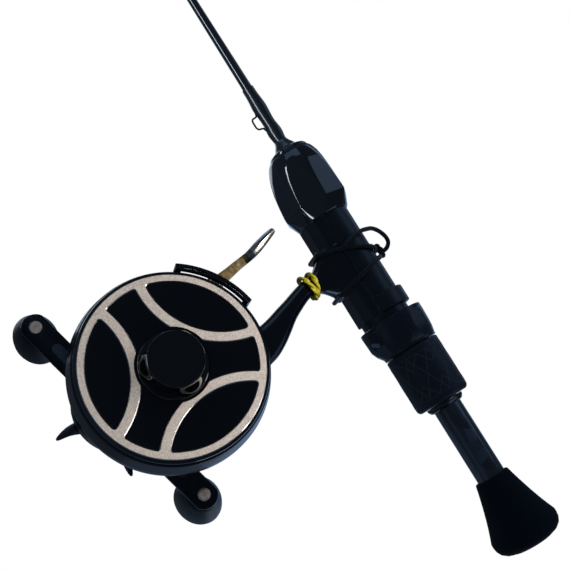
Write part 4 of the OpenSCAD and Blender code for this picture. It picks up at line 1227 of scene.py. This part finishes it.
def arm_outline(inset):
    end, boss, end_r, boss_r = 68, 42, 6.2 - inset, 8.4 - inset
    return (arc(end_r, -end, end, 18, (CRANK_R, 0)) + arc(boss_r, boss, 180 - boss, 14)
            + arc(end_r, 180 - end, 180 + end, 18, (-CRANK_R, 0)) + arc(boss_r, 180 + boss, 360 - boss, 14))


def crank_arm():
    at = on_crank(0)
    layers = ((0, 0.7), (0.5, 0.15), (1.2, 0.0), (2.9, 0.0), (3.6, 0.2), (ARM_T, 0.8))
    g = Geo().rings([[at(u, v, ARM_H + h) for u, v in arm_outline(inset)] for h, inset in layers])
    g.make("arm", "crank", "crank", replaces="crank_arm", slot="crank_alu", angle=40)


def arm_panel(side, tag):
    middle, half, r = side * (CRANK_R - 24), 13.2, 2.4
    x0, x1 = middle - half, middle + half
    outline = arc(r, 90, 270, 10, (x0 + r, 0)) + arc(r, -90, 90, 10, (x1 - r, 0))
    at = on_crank(0)
    g = Geo().rings([[at(u, v, h) for u, v in outline] for h in (ARM_TOP - 0.4, ARM_TOP + 0.02)])
    g.make("arm_panel_" + tag, "inlay", "crank", bevel=0.15, seg=2)


def screw_cap(side, tag):
    cap = [(0.8, 0.1), (0.85, 0.26), (2.3, 0.28), (2.75, 0.1), (2.9, -0.4), (2.85, -1.1), (0.9, -1.1)]
    socket = [(0.2, 0.12), (0.82, 0.12), (0.82, -0.9)]
    at = on_crank(side)
    g = lathe(at, [(r, ARM_TOP + h) for r, h in cap], 40, loop=True)
    lathe(at, [(r, ARM_TOP + h) for r, h in socket], 6, geo=g)
    g.make("screw_cap_" + tag, "screw", "crank")


def crank_grip(side, tag, number):
    base = ARM_H - 27.5
    rows = [(0.0, 3.2, 2.7), (0.15, 5.4, 4.6), (0.9, 7.3, 6.2), (2.2, 8.8, 7.5), (4.6, 10.2, 8.6),
            (7.6, 11.0, 9.2),
            (11, 11.2, 9.35), (14.5, 10.95, 9.3), (18, 10.2, 9.0), (21, 9.2, 8.4), (23.4, 8.1, 7.6),
            (25, 7.2, 7.0),
            (26.3, 6.5, 6.5), (27, 5.9, 5.9)]
    at = on_crank(side)
    rings = [[at(a * math.cos(t), b * math.sin(t), base + h) for t in whole_turn(48)] for h, a, b in rows]
    Geo().rings(rings).make("crank_grip_" + tag, "soft", "grip_" + tag, replaces="crank_knob_%d" % number,
                            slot="soft_knob", angle=60)


def crank_ends():
    for side, tag, number in ((-1, "a", 1), (1, "b", 2)):
        arm_panel(side, tag)
        screw_cap(side, tag)
        crank_grip(side, tag, number)


def crank_nut():
    corners = [math.pi * k / 3 + 0.3 for k in range(6)]
    layers = ((-3.4, 4.3), (-3.1, 4.9), (-0.3, 5.0), (-0.03, 4.7))
    rings = [[on_drive(r * math.cos(a), r * math.sin(a), ARM_H + h) for a in corners] for h, r in layers]
    Geo().rings(rings).make("crank_nut", "steel", "crank", replaces="handle_nut", slot="steel", bevel=0.2,
                            seg=2)


# ---------------------------------------------------------------- lever
def lever_section(centre, along, w, h, crown):
    t, half, edge = 1.35, w / 2, 0.2
    side = Vector((-along[1], along[0]))
    outline = ((-half, edge), (-half + 0.25, 0), (half - 0.25, 0), (half, edge), (half, t - edge),
               (half - 0.3, t),
               (0.15, t + crown), (-0.15, t + crown), (-half + 0.3, t), (-half, t - edge))
    return [on_spool(centre[0] + side[0] * u, centre[1] + side[1] * u, h + v) for u, v in outline]


def lever():
    """The lever's spine as (centre, width, height, crown). Its lower end is chrome coloured gold as a painted
    reflection, the rest is chrome.
    """
    spine = [(LUG, 5.6, 0.0, 0.0), ((-24.4, 38.5), 5.2, 0.0, 0.0), ((-25.4, 43.0), 4.6, 0.0, 0.0),
             ((-26.6, 48.0), 4.2, 0.0, 0.0), ((-27.2, 51.4), 4.1, 0.1, 0.0), ((-27.3, 53.2), 4.1, 1.6, 0.1),
             ((-27.6, 55.2), 4.3, 3.9, 0.25), ((-28.6, 58.0), 4.5, 4.2, 0.5), ((-29.9, 61.5), 4.1, 4.1, 0.6),
             ((-31.2, 65.0), 3.5, 3.9, 0.5), ((-32.2, 67.9), 2.7, 3.7, 0.3), ((-32.5, 68.8), 1.8, 3.65, 0.1)]
    last, chrome_from = len(spine) - 1, 5
    rows = []
    for i, (centre, w, h, crown) in enumerate(spine):
        along = Vector(spine[min(i + 1, last)][0]) - Vector(spine[max(i - 1, 0)][0])
        rows.append(lever_section(centre, along.normalized(), w, h, crown))
    # The rows before chrome_from, and the eye below, take the painted gold reflection.
    g = Geo().rings(rows, mats=[0 if i >= chrome_from else 1 for i in range(len(rows))])
    eye = [(1.0, 0.02), (2.9, 0.02), (3.1, 0.2), (3.1, 1.2), (2.9, 1.4), (1.0, 1.4)]
    lathe(on_lug, eye, 32, loop=True, geo=g, mat=1)
    g.make("lever_arm", ["chrome", "painted_gold_reflection"], "lever", replaces="trigger", slot="steel", angle=30)


# ---------------------------------------------------------------- floor
def make_floor():
    """A pale floor that only the camera sees."""
    m = Mat("studio_floor", (0.86, 0.86, 0.86), 0.7, spec=0.2)
    m.tint(m.noise(3, 3), {0.3: (0.84, 0.84, 0.84), 0.7: (0.88, 0.88, 0.88)})
    x0, x1, y0, y1, z = -1, 0.8, -0.8, 0.8, -0.21
    me = bpy.data.meshes.new("floor")
    me.from_pydata([(x0, y0, z), (x1, y0, z), (x1, y1, z), (x0, y1, z)], [], [[0, 1, 2, 3]])
    me.materials.append(m.data)
    floor = bpy.data.objects.new("floor", me)
    bpy.context.scene.collection.objects.link(floor)
    for seen_by in ("diffuse", "glossy", "transmission", "shadow"):
        setattr(floor, "visible_" + seen_by, False)
    return floor


# ---------------------------------------------------------------- the whole scene
make_camera()
make_world()
make_lights()
for build in (blank, guides, guide_windings, tip, keeper_winding, keeper_wire,
              nose_cap, barrel, seat_body, stop_block, hood, hood_window, grip, grip_pattern, grip_ring,
              tube_rear, butt,
              wraps, free_loop, knot, yellow_band,
              reel_body, stem, guard, gear_case, gear_cover, kept_nodes,
              spool_body, line_pack, spool_face, knob_seat, face_knob,
              star, crank_arm, crank_ends, crank_nut, lever):
    build()
share_lights(make_floor())
